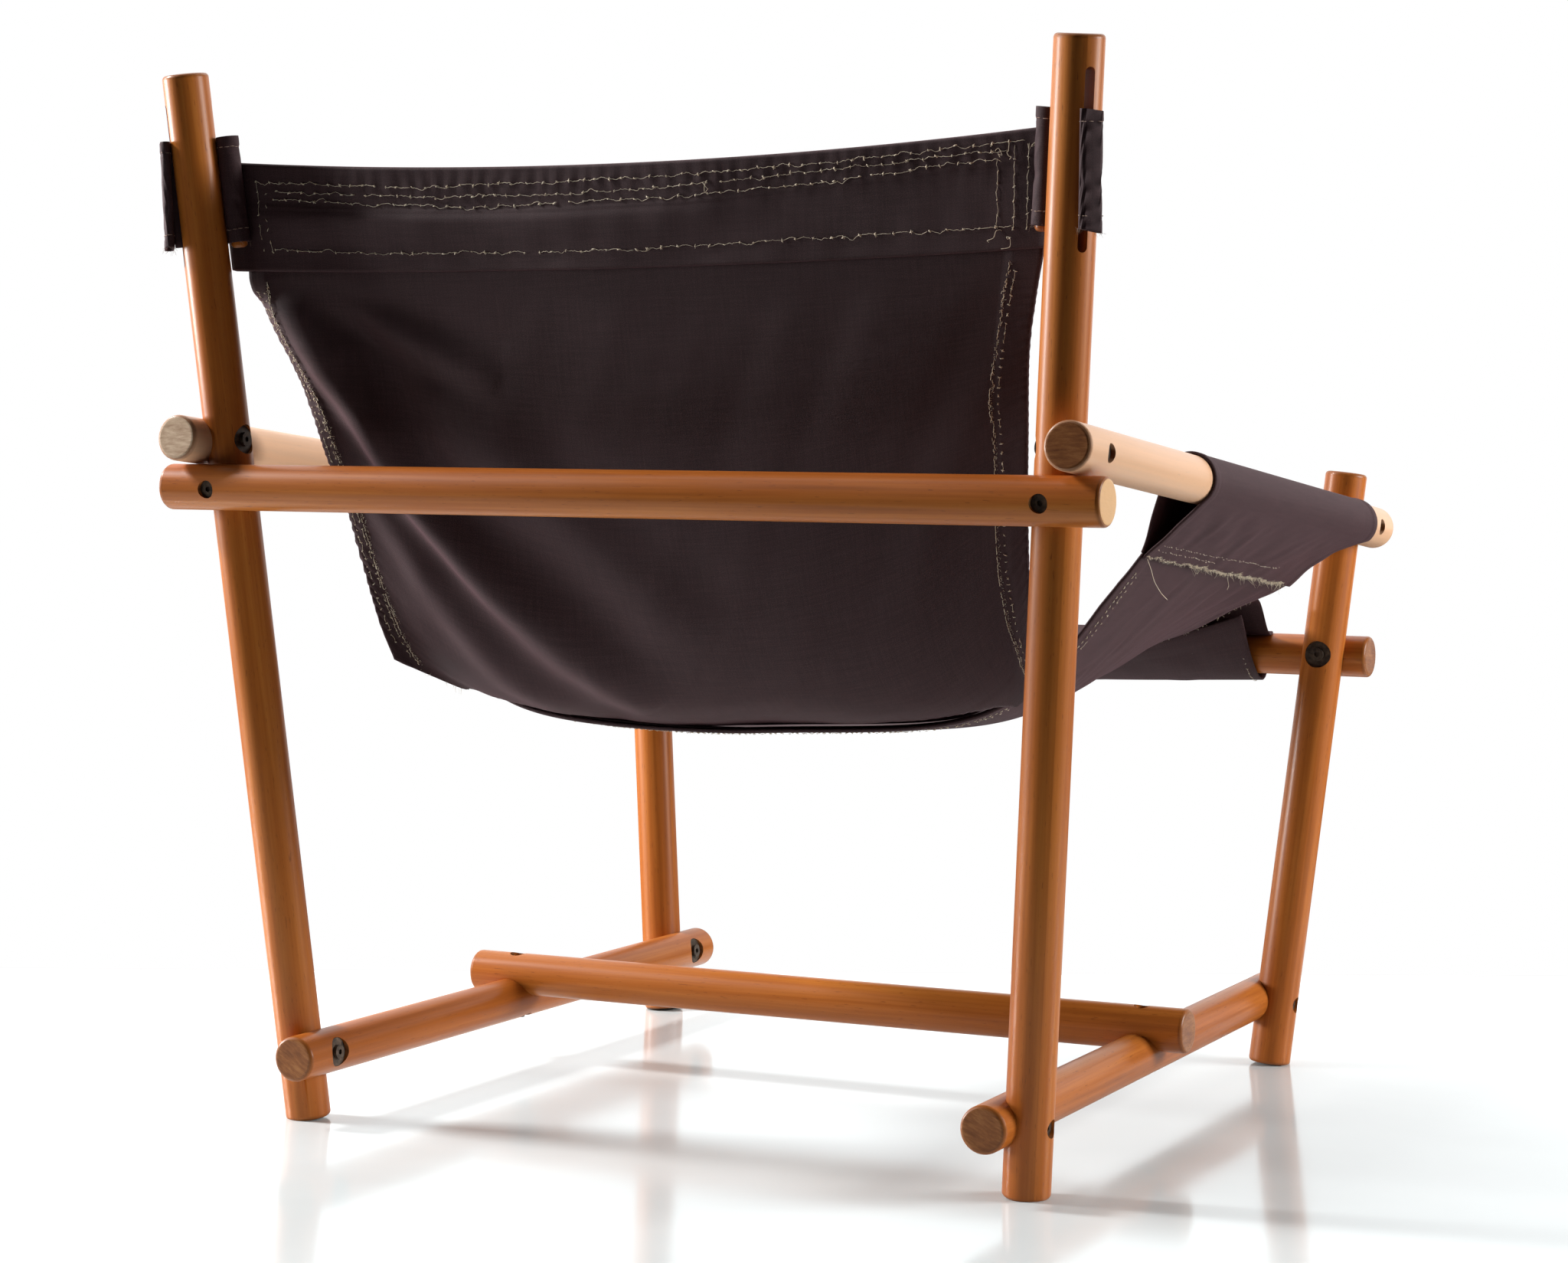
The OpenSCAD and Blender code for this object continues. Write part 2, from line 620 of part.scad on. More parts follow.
// Handles of the curve between the turn and the seat
turn_pull = [32, 78];
tuck_pull = [20, 4];
function panel_y0(z) = band_y(z) - panel_off;
function bezier(a, b, c, d, t) = let (k = 1 - t)
  a * k * k * k + 3 * b * k * k * t + 3 * c * k * t * t + d * t * t * t;
function panel_mid(t) = let (
    top = [panel_y0(panel_top_h), panel_top_h],
    hem = [panel_y0(band_bottom_h), band_bottom_h],
    turn = [panel_turn_y, panel_turn_z],
    low = [panel_tuck_y, lifted_z(0, panel_tuck_y, 2) + tuck_lift]
  ) t < band_share ? mix(top, hem, t / band_share)
    : t < flat_share ? mix(hem, turn, (t - band_share) / (flat_share - band_share))
    : bezier(turn, turn - turn_pull, [cross_rear_y + tuck_pull.x, low[1] + tuck_pull.y], low,
        (t - flat_share) / (1 - flat_share));
function panel_edge(t) = let (
    top = [panel_half(panel_top_h), panel_y0(panel_top_h), panel_top_h],
    hem = [panel_half(band_bottom_h), panel_y0(band_bottom_h), band_bottom_h],
    low = [back_low_half, back_corner_y, back_corner_h]
  ) t < band_share ? mix(top, hem, t / band_share)
    : mix(hem, low, (t - band_share) / (1 - band_share));
function panel_fold(s, t) = back_fold * ramp((t - 0.2) / 0.2) * ramp((0.85 - t) / 0.2)
  * (1 - pow(s, 4)) * sin(360 * (1.6 * abs(s) + 1.1 * t));
function panel_point(s, t) = let (
    e = panel_edge(t),
    m = panel_mid(t),
    w = pow(abs(s), mix(2, 5, ramp((t - 0.5) / 0.5))),
    swell = back_bulge * (1 - s * s) * sin(180 * min(1, max(0, (t - band_share) / (0.9 - band_share)))),
    x = s * e.x,
    y = mix(m[0], e.y, w) + swell + panel_fold(s, t),
    z = mix(m[1], e.z, w) - (t < band_share ? (1 - s * s) * band_sag * (1 - t / band_share) * 0.8 : 0)
  ) [x, y, y < cross_rear_y + 6 ? max(z, lifted_z(x, y, 2) + tuck_lift) : z];
module back_panel() {
  p = function (u, v) panel_point(2 * u - 1, v);
  color(cloth_colour) sheet(p, 24, 20, cloth_t);
}

// Seat panel: over the seat, round the seat rail and back under to its hem
seat_rear_short = 12;
lift_run = 30;
// A little more than one layer, which clears the cross panel's flat facets
seat_layers = 1.08;
// The panel widens towards the arms over this length, from this far behind the seat rail
wing_start = 38;
wing_back = 140;
hem_y = seat_rail_pt.y + front_hem_back;
// Rear edge of the cross panel, which the seat panel's rear edge follows
function cross_rear(a) = mix(cross_rear_y, sleeve_rear_y, pow(a, 4));
function seat_half(y) = mix(seat_front_half + seat_spread, seam_x(y) - 2 * layer,
  ramp((y - leave_y - wing_start) / wing_back));
function seat_x(s, y, half) = let (
    a = abs(s),
    full = seam_x(y) - 2 * layer,
    x = a < bend_part ? rib(a) * seam_x(y) : mix(bend_to * seam_x(y), full, (a - bend_part) / (1 - bend_part))
  ) sign(s) * x * half / full;
function seat_top(s, t) = let (
    y = mix(cross_rear(rib(abs(s))) - seat_rear_short, leave_y, 1 - pow(1 - t, 1.5)),
    x = seat_x(s, y, seat_half(y))
  ) [x, y, mix(pan_z(x, y), lifted_z(x, y, seat_layers), ramp((y - leave_y) / lift_run))];
function seat_wrap(s, t) = let (a = mix(-leave_angle, wrap_end, t))
  [seat_x(s, leave_y, seat_front_half + seat_spread * (1 - t)),
    seat_rail_pt.y - seat_wrap_r * sin(a), seat_rail_pt.z + seat_wrap_r * cos(a)];
// Handles of the slack curve below the seat rail
slack_pull = 2.9;
slack_back = 2;
wrap_pull = [2, -22];
function seat_under(s, t) = let (
    from = [seat_rail_pt.y - seat_wrap_r * sin(wrap_end), seat_rail_pt.z + seat_wrap_r * cos(wrap_end)],
    bottom = [seat_rail_pt.y + slack_back, seat_rail_pt.z - seat_wrap_r - slack_pull * front_slack],
    x = seat_x(s, leave_y, seat_front_half),
    to = [hem_y, pan_z(x, hem_y) - 3 * layer * steepness(x, hem_y)],
    q = bezier(from, from + wrap_pull, bottom, to, t)
  ) [x, q[0], q[1]];
// Grid lines along the seat panel: over the top, round the rail, and under
top_steps = 12;
under_steps = 5;
seat_steps = top_steps + wrap_steps + under_steps;
module seat_panel() {
  p = function (u, v) let (
      s = 2 * u - 1,
      k = v * seat_steps
    ) k < top_steps ? seat_top(s, k / top_steps)
    : k < top_steps + wrap_steps ? seat_wrap(s, (k - top_steps) / wrap_steps)
    : seat_under(s, (k - top_steps - wrap_steps) / under_steps);
  color(cloth_colour) sheet(p, across_steps, seat_steps, cloth_t);
}

// Cross panel: from arm seam to arm seam, under the seat panel
module cross_panel() {
  p = function (u, v) let (
      a = rib(abs(2 * u - 1)),
      r = sign(2 * u - 1) * a,
      front = mix(cross_front_y, seam_front_y, ramp(a * 1.5)),
      y = mix(cross_rear(a), front, v),
      x = r * seam_x(y)
    ) [x, y, pan_z(x, y)];
  color(cloth_colour) sheet(p, across_steps, 14, cloth_t);
}

// Arm sleeve: a loop over the arm rail whose two layers meet at the seam
seam_angle = atan2(-seam_drop, -seam_in);
seam_dist = norm([seam_drop, seam_in]);
// The loop's corners stand out a little, so that its flat facets clear the sloping rail
flap_steps = 3;
turn_steps = 16;
sleeve_steps = turn_steps + 2 * flap_steps;
sleeve_turn = 240;
sleeve_ease = 0.2;
sleeve_wrap_r = (wrap_r + sleeve_ease) / cos(sleeve_turn / turn_steps / 2);
open_angle = acos(sleeve_wrap_r / seam_dist);
flap_share = flap_steps / sleeve_steps;
// The outer layer laps over the outside of the cross panel, the inner one meets its edge
hem_slope = 54;
outer_hem = [sin(hem_slope), -cos(hem_slope)] * layer - [cos(hem_slope), sin(hem_slope)] * flap_hem;
inner_butt = [0.3, 1];
// The front edge of the flaps runs back in a hollow curve
function cut_share(down) = 1 - pow(1 - down, 3);
module arm_sleeve() {
  p = function (u, v) let (
      y_rail = mix(sleeve_rear_y, sleeve_front_y, v),
      y_seam = mix(sleeve_rear_y, seam_front_y, v),
      outer = u < flap_share,
      inner = u > 1 - flap_share,
      down = outer ? 1 - u / flap_share : inner ? (u - 1 + flap_share) / flap_share : 0,
      y = mix(y_rail, y_seam, cut_share(down)),
      c = arm_at(y),
      turn = outer ? 0 : inner ? 1 : (u - flap_share) / (1 - 2 * flap_share),
      a = mix(seam_angle + open_angle, seam_angle + 360 - open_angle, turn),
      q = [cos(a), sin(a)] * sleeve_wrap_r,
      e = [-seam_in, -seam_drop] + (outer ? outer_hem : inner_butt)
    ) [c.x + mix(q[0], e[0], down), y, c.z + mix(q[1], e[1], down)];
  color(cloth_colour) sheet(p, sleeve_steps, 8, cloth_t);
}

rear_post();  // rear_post_left
right_side() rear_post();  // rear_post_right
front_post();  // front_post_left
right_side() front_post();  // front_post_right
back_rail();
arm_rail();  // arm_rail_left
right_side() arm_rail();  // arm_rail_right
seat_rail();
side_stretcher();  // side_stretcher_left
right_side() side_stretcher();  // side_stretcher_right
cross_stretcher();
joint_bolts();
joint_washers();
sleeve_nuts();
toggle_loop();  // toggle_loop_left
right_side() toggle_loop();  // toggle_loop_right
outer_pin();  // toggle_pin_outer_left
inner_pin();  // toggle_pin_inner_left
right_side() outer_pin();  // toggle_pin_outer_right
right_side() inner_pin();  // toggle_pin_inner_right
back_band();
back_panel();
seat_panel();
cross_panel();
arm_sleeve();  // arm_sleeve_left
right_side() arm_sleeve();  // arm_sleeve_right
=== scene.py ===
"""Looks of a lounge chair of round beech dowels with a hung canvas sling.

Lengths are in millimetres until a mesh is made. The chair faces -Y and +Z is up. The left side is
worked out, and the right side is its mirror image in the plane X = 0.
"""
import math

import bpy
import numpy as np
from mathutils import Matrix


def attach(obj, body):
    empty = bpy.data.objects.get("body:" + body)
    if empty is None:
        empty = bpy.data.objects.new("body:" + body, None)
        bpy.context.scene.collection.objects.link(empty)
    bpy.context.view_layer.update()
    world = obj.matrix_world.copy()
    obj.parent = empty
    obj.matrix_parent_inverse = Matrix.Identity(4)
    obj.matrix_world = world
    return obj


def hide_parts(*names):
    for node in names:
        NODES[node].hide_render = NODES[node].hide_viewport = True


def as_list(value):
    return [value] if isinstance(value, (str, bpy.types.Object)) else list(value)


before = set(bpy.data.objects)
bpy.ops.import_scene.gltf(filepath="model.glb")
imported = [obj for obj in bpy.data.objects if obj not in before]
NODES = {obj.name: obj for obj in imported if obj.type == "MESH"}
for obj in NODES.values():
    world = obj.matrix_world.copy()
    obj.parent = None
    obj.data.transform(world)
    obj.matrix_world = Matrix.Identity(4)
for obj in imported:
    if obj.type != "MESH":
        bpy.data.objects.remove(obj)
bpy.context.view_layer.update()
MM = 0.001
CHAIR = "chair"

# Photograph: its width and focal length in pixels, and where the camera stands
PHOTO_W = 2048
FOCAL_PX = 4568.8
EYE = (-1225.5, 2550.0, 552.0)
YAW, PITCH, ROLL = math.radians(26.22), math.radians(-3.6), math.radians(0.287)
AXIS_LEFT_PX, AXIS_DOWN_PX = 4.5, 2.7
SENSOR_MM = 36.0
FAR_M = 60.0


def new_object(name, data):
    ob = bpy.data.objects.new(name, data)
    bpy.context.scene.collection.objects.link(ob)
    return ob


def set_axes(ob, right_, up, back_, place):
    """Turns and places an object by its three axes and its origin in metres."""
    ob.matrix_world = Matrix([[right_[i], up[i], back_[i], place[i]] for i in range(3)] + [[0, 0, 0, 1]])


def make_camera():
    """Camera whose axes are right, up and back, from yaw about Z, pitch and roll."""
    fwd = np.array([math.sin(YAW) * math.cos(PITCH), -math.cos(YAW) * math.cos(PITCH), math.sin(PITCH)])
    side = np.array([-math.cos(YAW), -math.sin(YAW), 0.0])
    up = np.cross(side, fwd)
    cam = new_object("camera", bpy.data.cameras.new("camera"))
    set_axes(cam, math.cos(ROLL) * side + math.sin(ROLL) * up, math.cos(ROLL) * up - math.sin(ROLL) * side,
             -fwd, np.array(EYE) * MM)
    cam.data.sensor_width = SENSOR_MM
    cam.data.lens = FOCAL_PX / PHOTO_W * SENSOR_MM
    cam.data.shift_x = AXIS_LEFT_PX / PHOTO_W
    cam.data.shift_y = AXIS_DOWN_PX / PHOTO_W
    cam.data.clip_end = FAR_M
    bpy.context.scene.camera = cam


make_camera()

# Frame: measures as in the part's source
DOWEL_R = 17.5
AXIS_GAP = 20.0
CLOTH_T = 1.5
WOOD_GAP = 0.3
LAYER = 2.1
ROLL_L = 80.0
ROLL_OUT_R = 8.4
END_ROUND = 3.0
REAR_H, FRONT_H = 806.0, 504.0
REAR_LEAN, FRONT_LEAN = 72.5, 43.0
FOOT_RUN = 572.0
ARM_REAR_H, ARM_FRONT_H = 529.0, 462.0
ARM_BEHIND, ARM_PAST = 40.0, 35.0
SEAT_RAIL_H, STRETCHER_H, BACK_RAIL_H = 349.0, 52.5, 494.0
ROLLS_BELOW_TOP = 89.0
RAIL_DROP = 35.4
SLOT_TURN, INNER_TURN = math.radians(50), math.radians(16)
SLAT_T, SLAT_WALL, PIN_GAP, SLAT_LEAN = 3.2, 1.5, 0.3, math.radians(4)


def unit(v):
    v = np.asarray(v, float)
    return v / np.linalg.norm(v)


def units(v):
    """Vectors along the last axis, each brought to length 1."""
    return v / np.maximum(np.linalg.norm(v, axis=-1, keepdims=True), 1e-9)


def run_of(line):
    """Distance along a line of points, from 0 at its first."""
    return np.concatenate([[0], np.cumsum(np.linalg.norm(np.diff(line, axis=0), axis=-1))])


def read_at(where, run, q):
    """The columns of q, known at run, read between its rows at where."""
    return np.stack([np.interp(where, run, column) for column in q.T], -1)


def smoothed(v, times):
    """Each inner value averaged with its neighbours, a number of times."""
    for _ in range(times):
        v[1:-1] = (v[:-2] + 2 * v[1:-1] + v[2:]) / 4
    return v


def on_line(p, q, value, axis):
    """Points of the line p to q where the coordinate number axis has the given values."""
    t = (np.asarray(value, float) - p[axis]) / (q[axis] - p[axis])
    return p + t[..., None] * (q - p)


def mix(a, b, t):
    return a + (b - a) * t


def ramp(t):
    """Smooth step from 0 at t = 0 to 1 at t = 1."""
    c = np.clip(t, 0, 1)
    return c * c * (3 - 2 * c)


# Axes of the dowels on the left side, from the floor up and from back to front
ROLL_OFF = DOWEL_R + WOOD_GAP + ROLL_OUT_R
ARM_SLOPE = math.atan((ARM_REAR_H - ARM_FRONT_H) / FOOT_RUN)
FRONT_REACH = (FRONT_LEAN * ARM_FRONT_H / FRONT_H + ARM_PAST * math.cos(ARM_SLOPE)
               + (DOWEL_R - END_ROUND) * math.sin(ARM_SLOPE))
FLAT_T = SLAT_T + 2 * (PIN_GAP + SLAT_WALL)
SLAT_OFF = DOWEL_R + WOOD_GAP + FLAT_T / 2 / math.cos(SLAT_LEAN) + ROLL_L / 2 * math.tan(SLAT_LEAN)
REAR_REACH = REAR_LEAN * (1 - END_ROUND / REAR_H) + DOWEL_R * math.cos(math.atan(REAR_LEAN / REAR_H))
REAR_Y = (FOOT_RUN + FRONT_REACH - REAR_REACH) / 2
REAR_FOOT = np.array([303.0, REAR_Y, 0.0])
REAR_TOP = np.array([363.0, REAR_Y + REAR_LEAN, REAR_H])
FRONT_FOOT = np.array([293.0, REAR_Y - FOOT_RUN, 0.0])
FRONT_TOP = np.array([340.5, REAR_Y - FOOT_RUN - FRONT_LEAN, FRONT_H])
REAR_DIR = unit(REAR_TOP - REAR_FOOT)
FRONT_DIR = unit(FRONT_TOP - FRONT_FOOT)
ACROSS = np.array([1.0, 0.0, 0.0])


def on_rear(z):
    return on_line(REAR_FOOT, REAR_TOP, z, 2)


def on_front(z):
    return on_line(FRONT_FOOT, FRONT_TOP, z, 2)


def beside_posts(rear_z, front_z, way):
    """Where a dowel's axis passes the rear and the front post: outside them for way 1, inside for -1."""
    a, b = on_rear(rear_z), on_front(front_z)
    run = unit(b - a) * way
    return a + unit(np.cross(REAR_DIR, run)) * AXIS_GAP, b + unit(np.cross(FRONT_DIR, run)) * AXIS_GAP


ARM_REAR, ARM_FRONT = beside_posts(ARM_REAR_H, ARM_FRONT_H, 1)
STR_REAR, STR_FRONT = beside_posts(STRETCHER_H, STRETCHER_H, -1)
ARM_DIR, STR_DIR = unit(ARM_FRONT - ARM_REAR), unit(STR_FRONT - STR_REAR)


def arm_at(y):
    return on_line(ARM_REAR, ARM_FRONT, y, 1)


SEAT_RAIL = on_front(SEAT_RAIL_H) + unit(np.cross(ACROSS, FRONT_DIR)) * AXIS_GAP
back_out = -unit(np.cross(ACROSS, REAR_DIR))
back_arm_z = arm_at(on_rear(BACK_RAIL_H)[1] + AXIS_GAP)[2]
back_z = back_arm_z - RAIL_DROP * np.linalg.norm(ARM_DIR[1:]) / abs(ARM_DIR[1]) - back_out[2] * AXIS_GAP
BACK_RAIL = on_rear(back_z) + back_out * AXIS_GAP
ROLL_MID = on_rear(REAR_H - ROLLS_BELOW_TOP)
SLOT_DIR = np.array([math.sin(SLOT_TURN), math.cos(SLOT_TURN), 0.0])
INNER_WAY = np.array([math.sin(SLOT_TURN + INNER_TURN), math.cos(SLOT_TURN + INNER_TURN), 0.0])

# Sling: the same surfaces as in the part's source
BAND_T = 3.0
BAND_W = 88.0
BAND_SAG = 14.0
BAND_TOP = ROLL_MID[2] + 27.0
BAND_BOTTOM = BAND_TOP - BAND_W
BAND_OFF = ROLL_OUT_R + WOOD_GAP + BAND_T / 2
PANEL_OFF = BAND_T / 2 + 0.6 + CLOTH_T / 2
SLEEVE_FRONT_Y = on_front(ARM_FRONT_H)[1] + DOWEL_R + 8.0
SLEEVE_L = 421.0
SLEEVE_REAR_Y = SLEEVE_FRONT_Y + SLEEVE_L
SEAM_FRONT_Y = SLEEVE_FRONT_Y + 66.0
CROSS_REAR_Y = SLEEVE_REAR_Y + 28.0
CROSS_FRONT_Y = SLEEVE_FRONT_Y + 77.0
SEAM_DROP, SEAM_IN = 56.0, 37.0
SEAT_LOW_Z, SEAT_LOW_Y = 300.5, 30.0
SEAT_HALF_FRONT, SEAT_SPREAD = 265.0, 11.0
WRAP_R = DOWEL_R + WOOD_GAP + CLOTH_T / 2
CORNER_Y = CROSS_REAR_Y + 58.0
CORNER_Z = 356.0
TUCK_Y = CROSS_REAR_Y - 45.0
BAND_LAP = 14.0
BAND_SHARE, FLAT_SHARE = 0.15, 0.6

leave_angle = math.radians(20)
for _ in range(5):
    leave_angle = math.atan(2 * (SEAT_RAIL[2] - SEAT_LOW_Z + WRAP_R * math.cos(leave_angle))
                            / (SEAT_LOW_Y - SEAT_RAIL[1] - WRAP_R * math.sin(leave_angle)))
LEAVE_Y = SEAT_RAIL[1] + WRAP_R * math.sin(leave_angle)
SEAT_CURVE = math.tan(leave_angle) / (2 * (SEAT_LOW_Y - LEAVE_Y))


def stack(x, y, z):
    return np.stack(np.broadcast_arrays(x, y, z), -1).astype(float)


def inner_roll(z):
    """Axis of the inner cloth roll at height z: the post's axis, moved inwards and forwards."""
    return on_rear(z) - INNER_WAY * ROLL_OFF


def band_half(z):
    return inner_roll(z)[..., 0] + 14.0


def band_y(z):
    return inner_roll(z)[..., 1] - BAND_OFF


def seam_x(y):
    return arm_at(y)[..., 0] - SEAM_IN


def seam_z(y):
    return arm_at(y)[..., 2] - SEAM_DROP


def mid_z(y):
    """Height of the seat's middle line: a parabola that leaves the seat rail at a tangent."""
    return SEAT_LOW_Z + SEAT_CURVE * (y - SEAT_LOW_Y) ** 2


def rise(r, r0, w):
    """Share of the climb to the arm seam at share r of the half width: flat, then a soft bend at r0."""
    bend = lambda q: (q - r0) + np.sqrt((q - r0) ** 2 + w * w)
    return (bend(r) - bend(0.0)) / (bend(1.0) - bend(0.0))


def pan_z(x, y):
    """Height of the cross panel: the middle line, raised to the arm seams by rise()."""
    f = ramp((SLEEVE_REAR_Y - y) / SLEEVE_L)
    level = ramp((y - LEAVE_Y) / 42.0)
    r = np.minimum(1.08, np.abs(x) / seam_x(y))
    return mid_z(y) + level * (seam_z(y) - mid_z(y)) * rise(r, mix(0.7, 0.5, f), mix(0.15, 0.25, f))


def lifted_z(x, y, layers, d=0.5):
    """Height a number of cloth layers above the cross panel, measured square to it."""
    gx = (pan_z(x + d, y) - pan_z(x - d, y)) / (2 * d)
    gy = (pan_z(x, y + d) - pan_z(x, y - d)) / (2 * d)
    return pan_z(x, y) + layers * LAYER * np.sqrt(1 + gx * gx + gy * gy)


def bezier(a, b, c, d, t):
    k = 1 - t
    return a * k ** 3 + 3 * b * k * k * t + 3 * c * k * t * t + d * t ** 3


def panel_mid(t):
    """Middle line of the back panel: behind the band, straight down, then a curve to the seat."""
    hem = np.array([band_y(BAND_BOTTOM) - PANEL_OFF, BAND_BOTTOM])
    top = np.array([band_y(BAND_TOP - BAND_LAP) - PANEL_OFF, BAND_TOP - BAND_LAP])
    turn = np.array([CORNER_Y + 24, CORNER_Z + 44])
    low = np.array([TUCK_Y, float(lifted_z(0.0, TUCK_Y, 2)) + 1.2])
    t = np.asarray(t, float)[..., None]
    bent = bezier(turn, turn - [32, 78], np.array([CROSS_REAR_Y + 20, low[1] + 4]), low,
                  np.clip((t - FLAT_SHARE) / (1 - FLAT_SHARE), 0, 1))
    straight = mix(hem, turn, (t - BAND_SHARE) / (FLAT_SHARE - BAND_SHARE))
    return np.where(t < BAND_SHARE, mix(top, hem, t / BAND_SHARE), np.where(t < FLAT_SHARE, straight, bent))


def panel_edge(t):
    """Side edge of the back panel: behind the band, then straight down to its lower corner."""
    top_z = BAND_TOP - BAND_LAP
    top = np.array([inner_roll(top_z).item(0) - 3, band_y(top_z) - PANEL_OFF, top_z])
    hem = np.array([inner_roll(BAND_BOTTOM).item(0) - 3, band_y(BAND_BOTTOM) - PANEL_OFF, BAND_BOTTOM])
    low = np.array([273.0, CORNER_Y, CORNER_Z])
    t = np.asarray(t, float)[..., None]
    free = mix(hem, low, (t - BAND_SHARE) / (1 - BAND_SHARE))
    return np.where(t < BAND_SHARE, mix(top, hem, t / BAND_SHARE), free)


def panel_base(s, t):
    """Back panel without folds: its middle line at s = 0 and its side edges at s = -1 and 1."""
    e, m = panel_edge(t), panel_mid(t)
    w = np.abs(s) ** mix(2.0, 5.0, ramp((t - 0.5) / 0.5))
    swell = 20.0 * (1 - s * s) * np.sin(np.pi * np.clip((t - BAND_SHARE) / (0.9 - BAND_SHARE), 0, 1))
    x = s * e[..., 0]
    y = mix(m[..., 0], e[..., 1], w) + swell
    z = mix(m[..., 1], e[..., 2], w)
    z = z - np.where(t < BAND_SHARE, (1 - s * s) * BAND_SAG * (1 - t / BAND_SHARE) * 0.8, 0)
    return stack(x, y, np.where(y < CROSS_REAR_Y + 6, np.maximum(z, lifted_z(x, y, 2) + 1.2), z))


def settled(p, top=0.0):
    """The sling as it hangs in the photo, higher on the right: by up to 2.7 mm at its rear lip, falling
    to nothing towards the arms and the front, and by 3.5 mm at the posts where top is 1."""
    x, y, z = p[..., 0], p[..., 1], p[..., 2]
    lip = ramp((y - 20) / 80) * ramp((290 - np.abs(x)) / 60) * (1 - ramp((z - 330) / 70))
    lift = -2.7 * np.tanh(x / 60) * lip - top * 0.011 * x * ramp((z - 380) / 200)
    return p + lift[..., None] * [0, 0, 1]


# Mesh making
def quads(a, b):
    """Faces between matching rows a and b of point numbers."""
    return np.stack([a[:, :-1], b[:, :-1], b[:, 1:], a[:, 1:]], -1).reshape(-1, 4)


def mesh_piece(name, points, faces, material, uv=None):
    """A piece from points in millimetres and faces given as lists of their numbers."""
    me = bpy.data.meshes.new(name)
    me.from_pydata((np.asarray(points) * MM).tolist(), [], [list(f) for f in faces])
    me.polygons.foreach_set("use_smooth", [True] * len(me.polygons))
    if uv is not None:
        corner = np.zeros(len(me.loops), int)
        me.loops.foreach_get("vertex_index", corner)
        layer = me.uv_layers.new(name="cloth")
        layer.data.foreach_set("uv", (uv[corner] * MM).ravel())
    me.materials.append(material)
    ob = new_object(name, me)
    me.update()
    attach(ob, CHAIR)
    return ob


def normals_of(p):
    """Unit normals of a grid of points: the cross product of its differences both ways."""
    return units(np.cross(np.gradient(p, axis=0), np.gradient(p, axis=1)))


def arc_lengths(p):
    """Real distance along both directions of a grid, measured from its middle line and first row."""
    du = np.linalg.norm(np.diff(p, axis=0), axis=-1)
    dv = np.linalg.norm(np.diff(p, axis=1), axis=-1)
    su = np.concatenate([np.zeros((1, p.shape[1])), np.cumsum(du, 0)])
    sv = np.concatenate([np.zeros((p.shape[0], 1)), np.cumsum(dv, 1)], 1)
    return np.stack([su - su[len(su) // 2], np.broadcast_to(sv[len(sv) // 2], su.shape)], -1)


class Cloth:
    """A sheet on a grid: middle points, unit normals, and how thick it is on its face and its back."""

    def __init__(self, points, face=CLOTH_T / 2, back=CLOTH_T / 2, relief=0.0):
        n = normals_of(points)
        self.mid = points + n * np.asarray(relief)[..., None]
        self.n = normals_of(self.mid)
        self.face = np.broadcast_to(np.asarray(face, float), points.shape[:2])
        self.back = np.broadcast_to(np.asarray(back, float), points.shape[:2])
        self.uv = arc_lengths(points)

    def shell(self):
        """Closed shell: face grid, back grid, and a rounded rim that joins their edges."""
        nu, nv = self.mid.shape[:2]
        ids = np.arange(nu * nv).reshape(nu, nv)
        top = self.mid + self.n * self.face[..., None]
        low = self.mid - self.n * self.back[..., None]
        quad = quads(ids[:-1], ids[1:])
        loop = np.concatenate([ids[:-1, 0], ids[-1, :-1], ids[:0:-1, -1], ids[0, :0:-1]])
        out = np.zeros((nu, nv, 3))
        out[:, 0] -= self.mid[:, 1] - self.mid[:, 0]
        out[:, -1] += self.mid[:, -1] - self.mid[:, -2]
        out[0] -= self.mid[1] - self.mid[0]
        out[-1] += self.mid[-1] - self.mid[-2]
        out = units(out.reshape(-1, 3)[loop])
        t, b = top.reshape(-1, 3)[loop], low.reshape(-1, 3)[loop]
        rim = (t + b) / 2 + out * (np.linalg.norm(t - b, axis=-1, keepdims=True) * 0.4)
        k, m = nu * nv, len(loop)
        r0 = 2 * k + np.arange(m)
        r1, nxt = np.roll(r0, -1), np.roll(loop, -1)
        faces = np.concatenate([quad, quad[:, ::-1] + k, np.stack([loop, r0, r1, nxt], -1),
                                np.stack([r0, loop + k, nxt + k, r1], -1)])
        flat = self.uv.reshape(-1, 2)
        return (np.concatenate([top.reshape(-1, 3), low.reshape(-1, 3), rim]), faces,
                np.concatenate([flat, flat, flat[loop]]))

    def at(self, u, v, side=1, lift=0.0):
        """Points and outward normals on the face (side 1) or back (side -1), at shares u and v."""
        nu, nv = self.mid.shape[:2]
        a, b = np.clip(u, 0, 1) * (nu - 1), np.clip(v, 0, 1) * (nv - 1)
        i, j = np.minimum(a.astype(int), nu - 2), np.minimum(b.astype(int), nv - 2)
        fa, fb = a - i, b - j
        thick = self.face if side > 0 else self.back
        grid = np.concatenate([self.mid, self.n, thick[..., None]], -1)
        g = sum(grid[i + p, j + q] * (abs(1 - p - fa) * abs(1 - q - fb))[:, None]
                for q in (0, 1) for p in (0, 1))
        n = units(g[:, 3:6]) * side
        return g[:, :3] + n * (g[:, 6:7] + lift), n


def merged(shells):
    """Several shells as one list of points, faces and places on the cloth."""
    points, faces, uvs, start = [], [], [], 0
    for p, f, w in shells:
        points.append(p)
        faces.extend((np.asarray(f) + start).tolist())
        uvs.append(w)
        start += len(p)
    return np.concatenate(points), faces, np.concatenate(uvs)


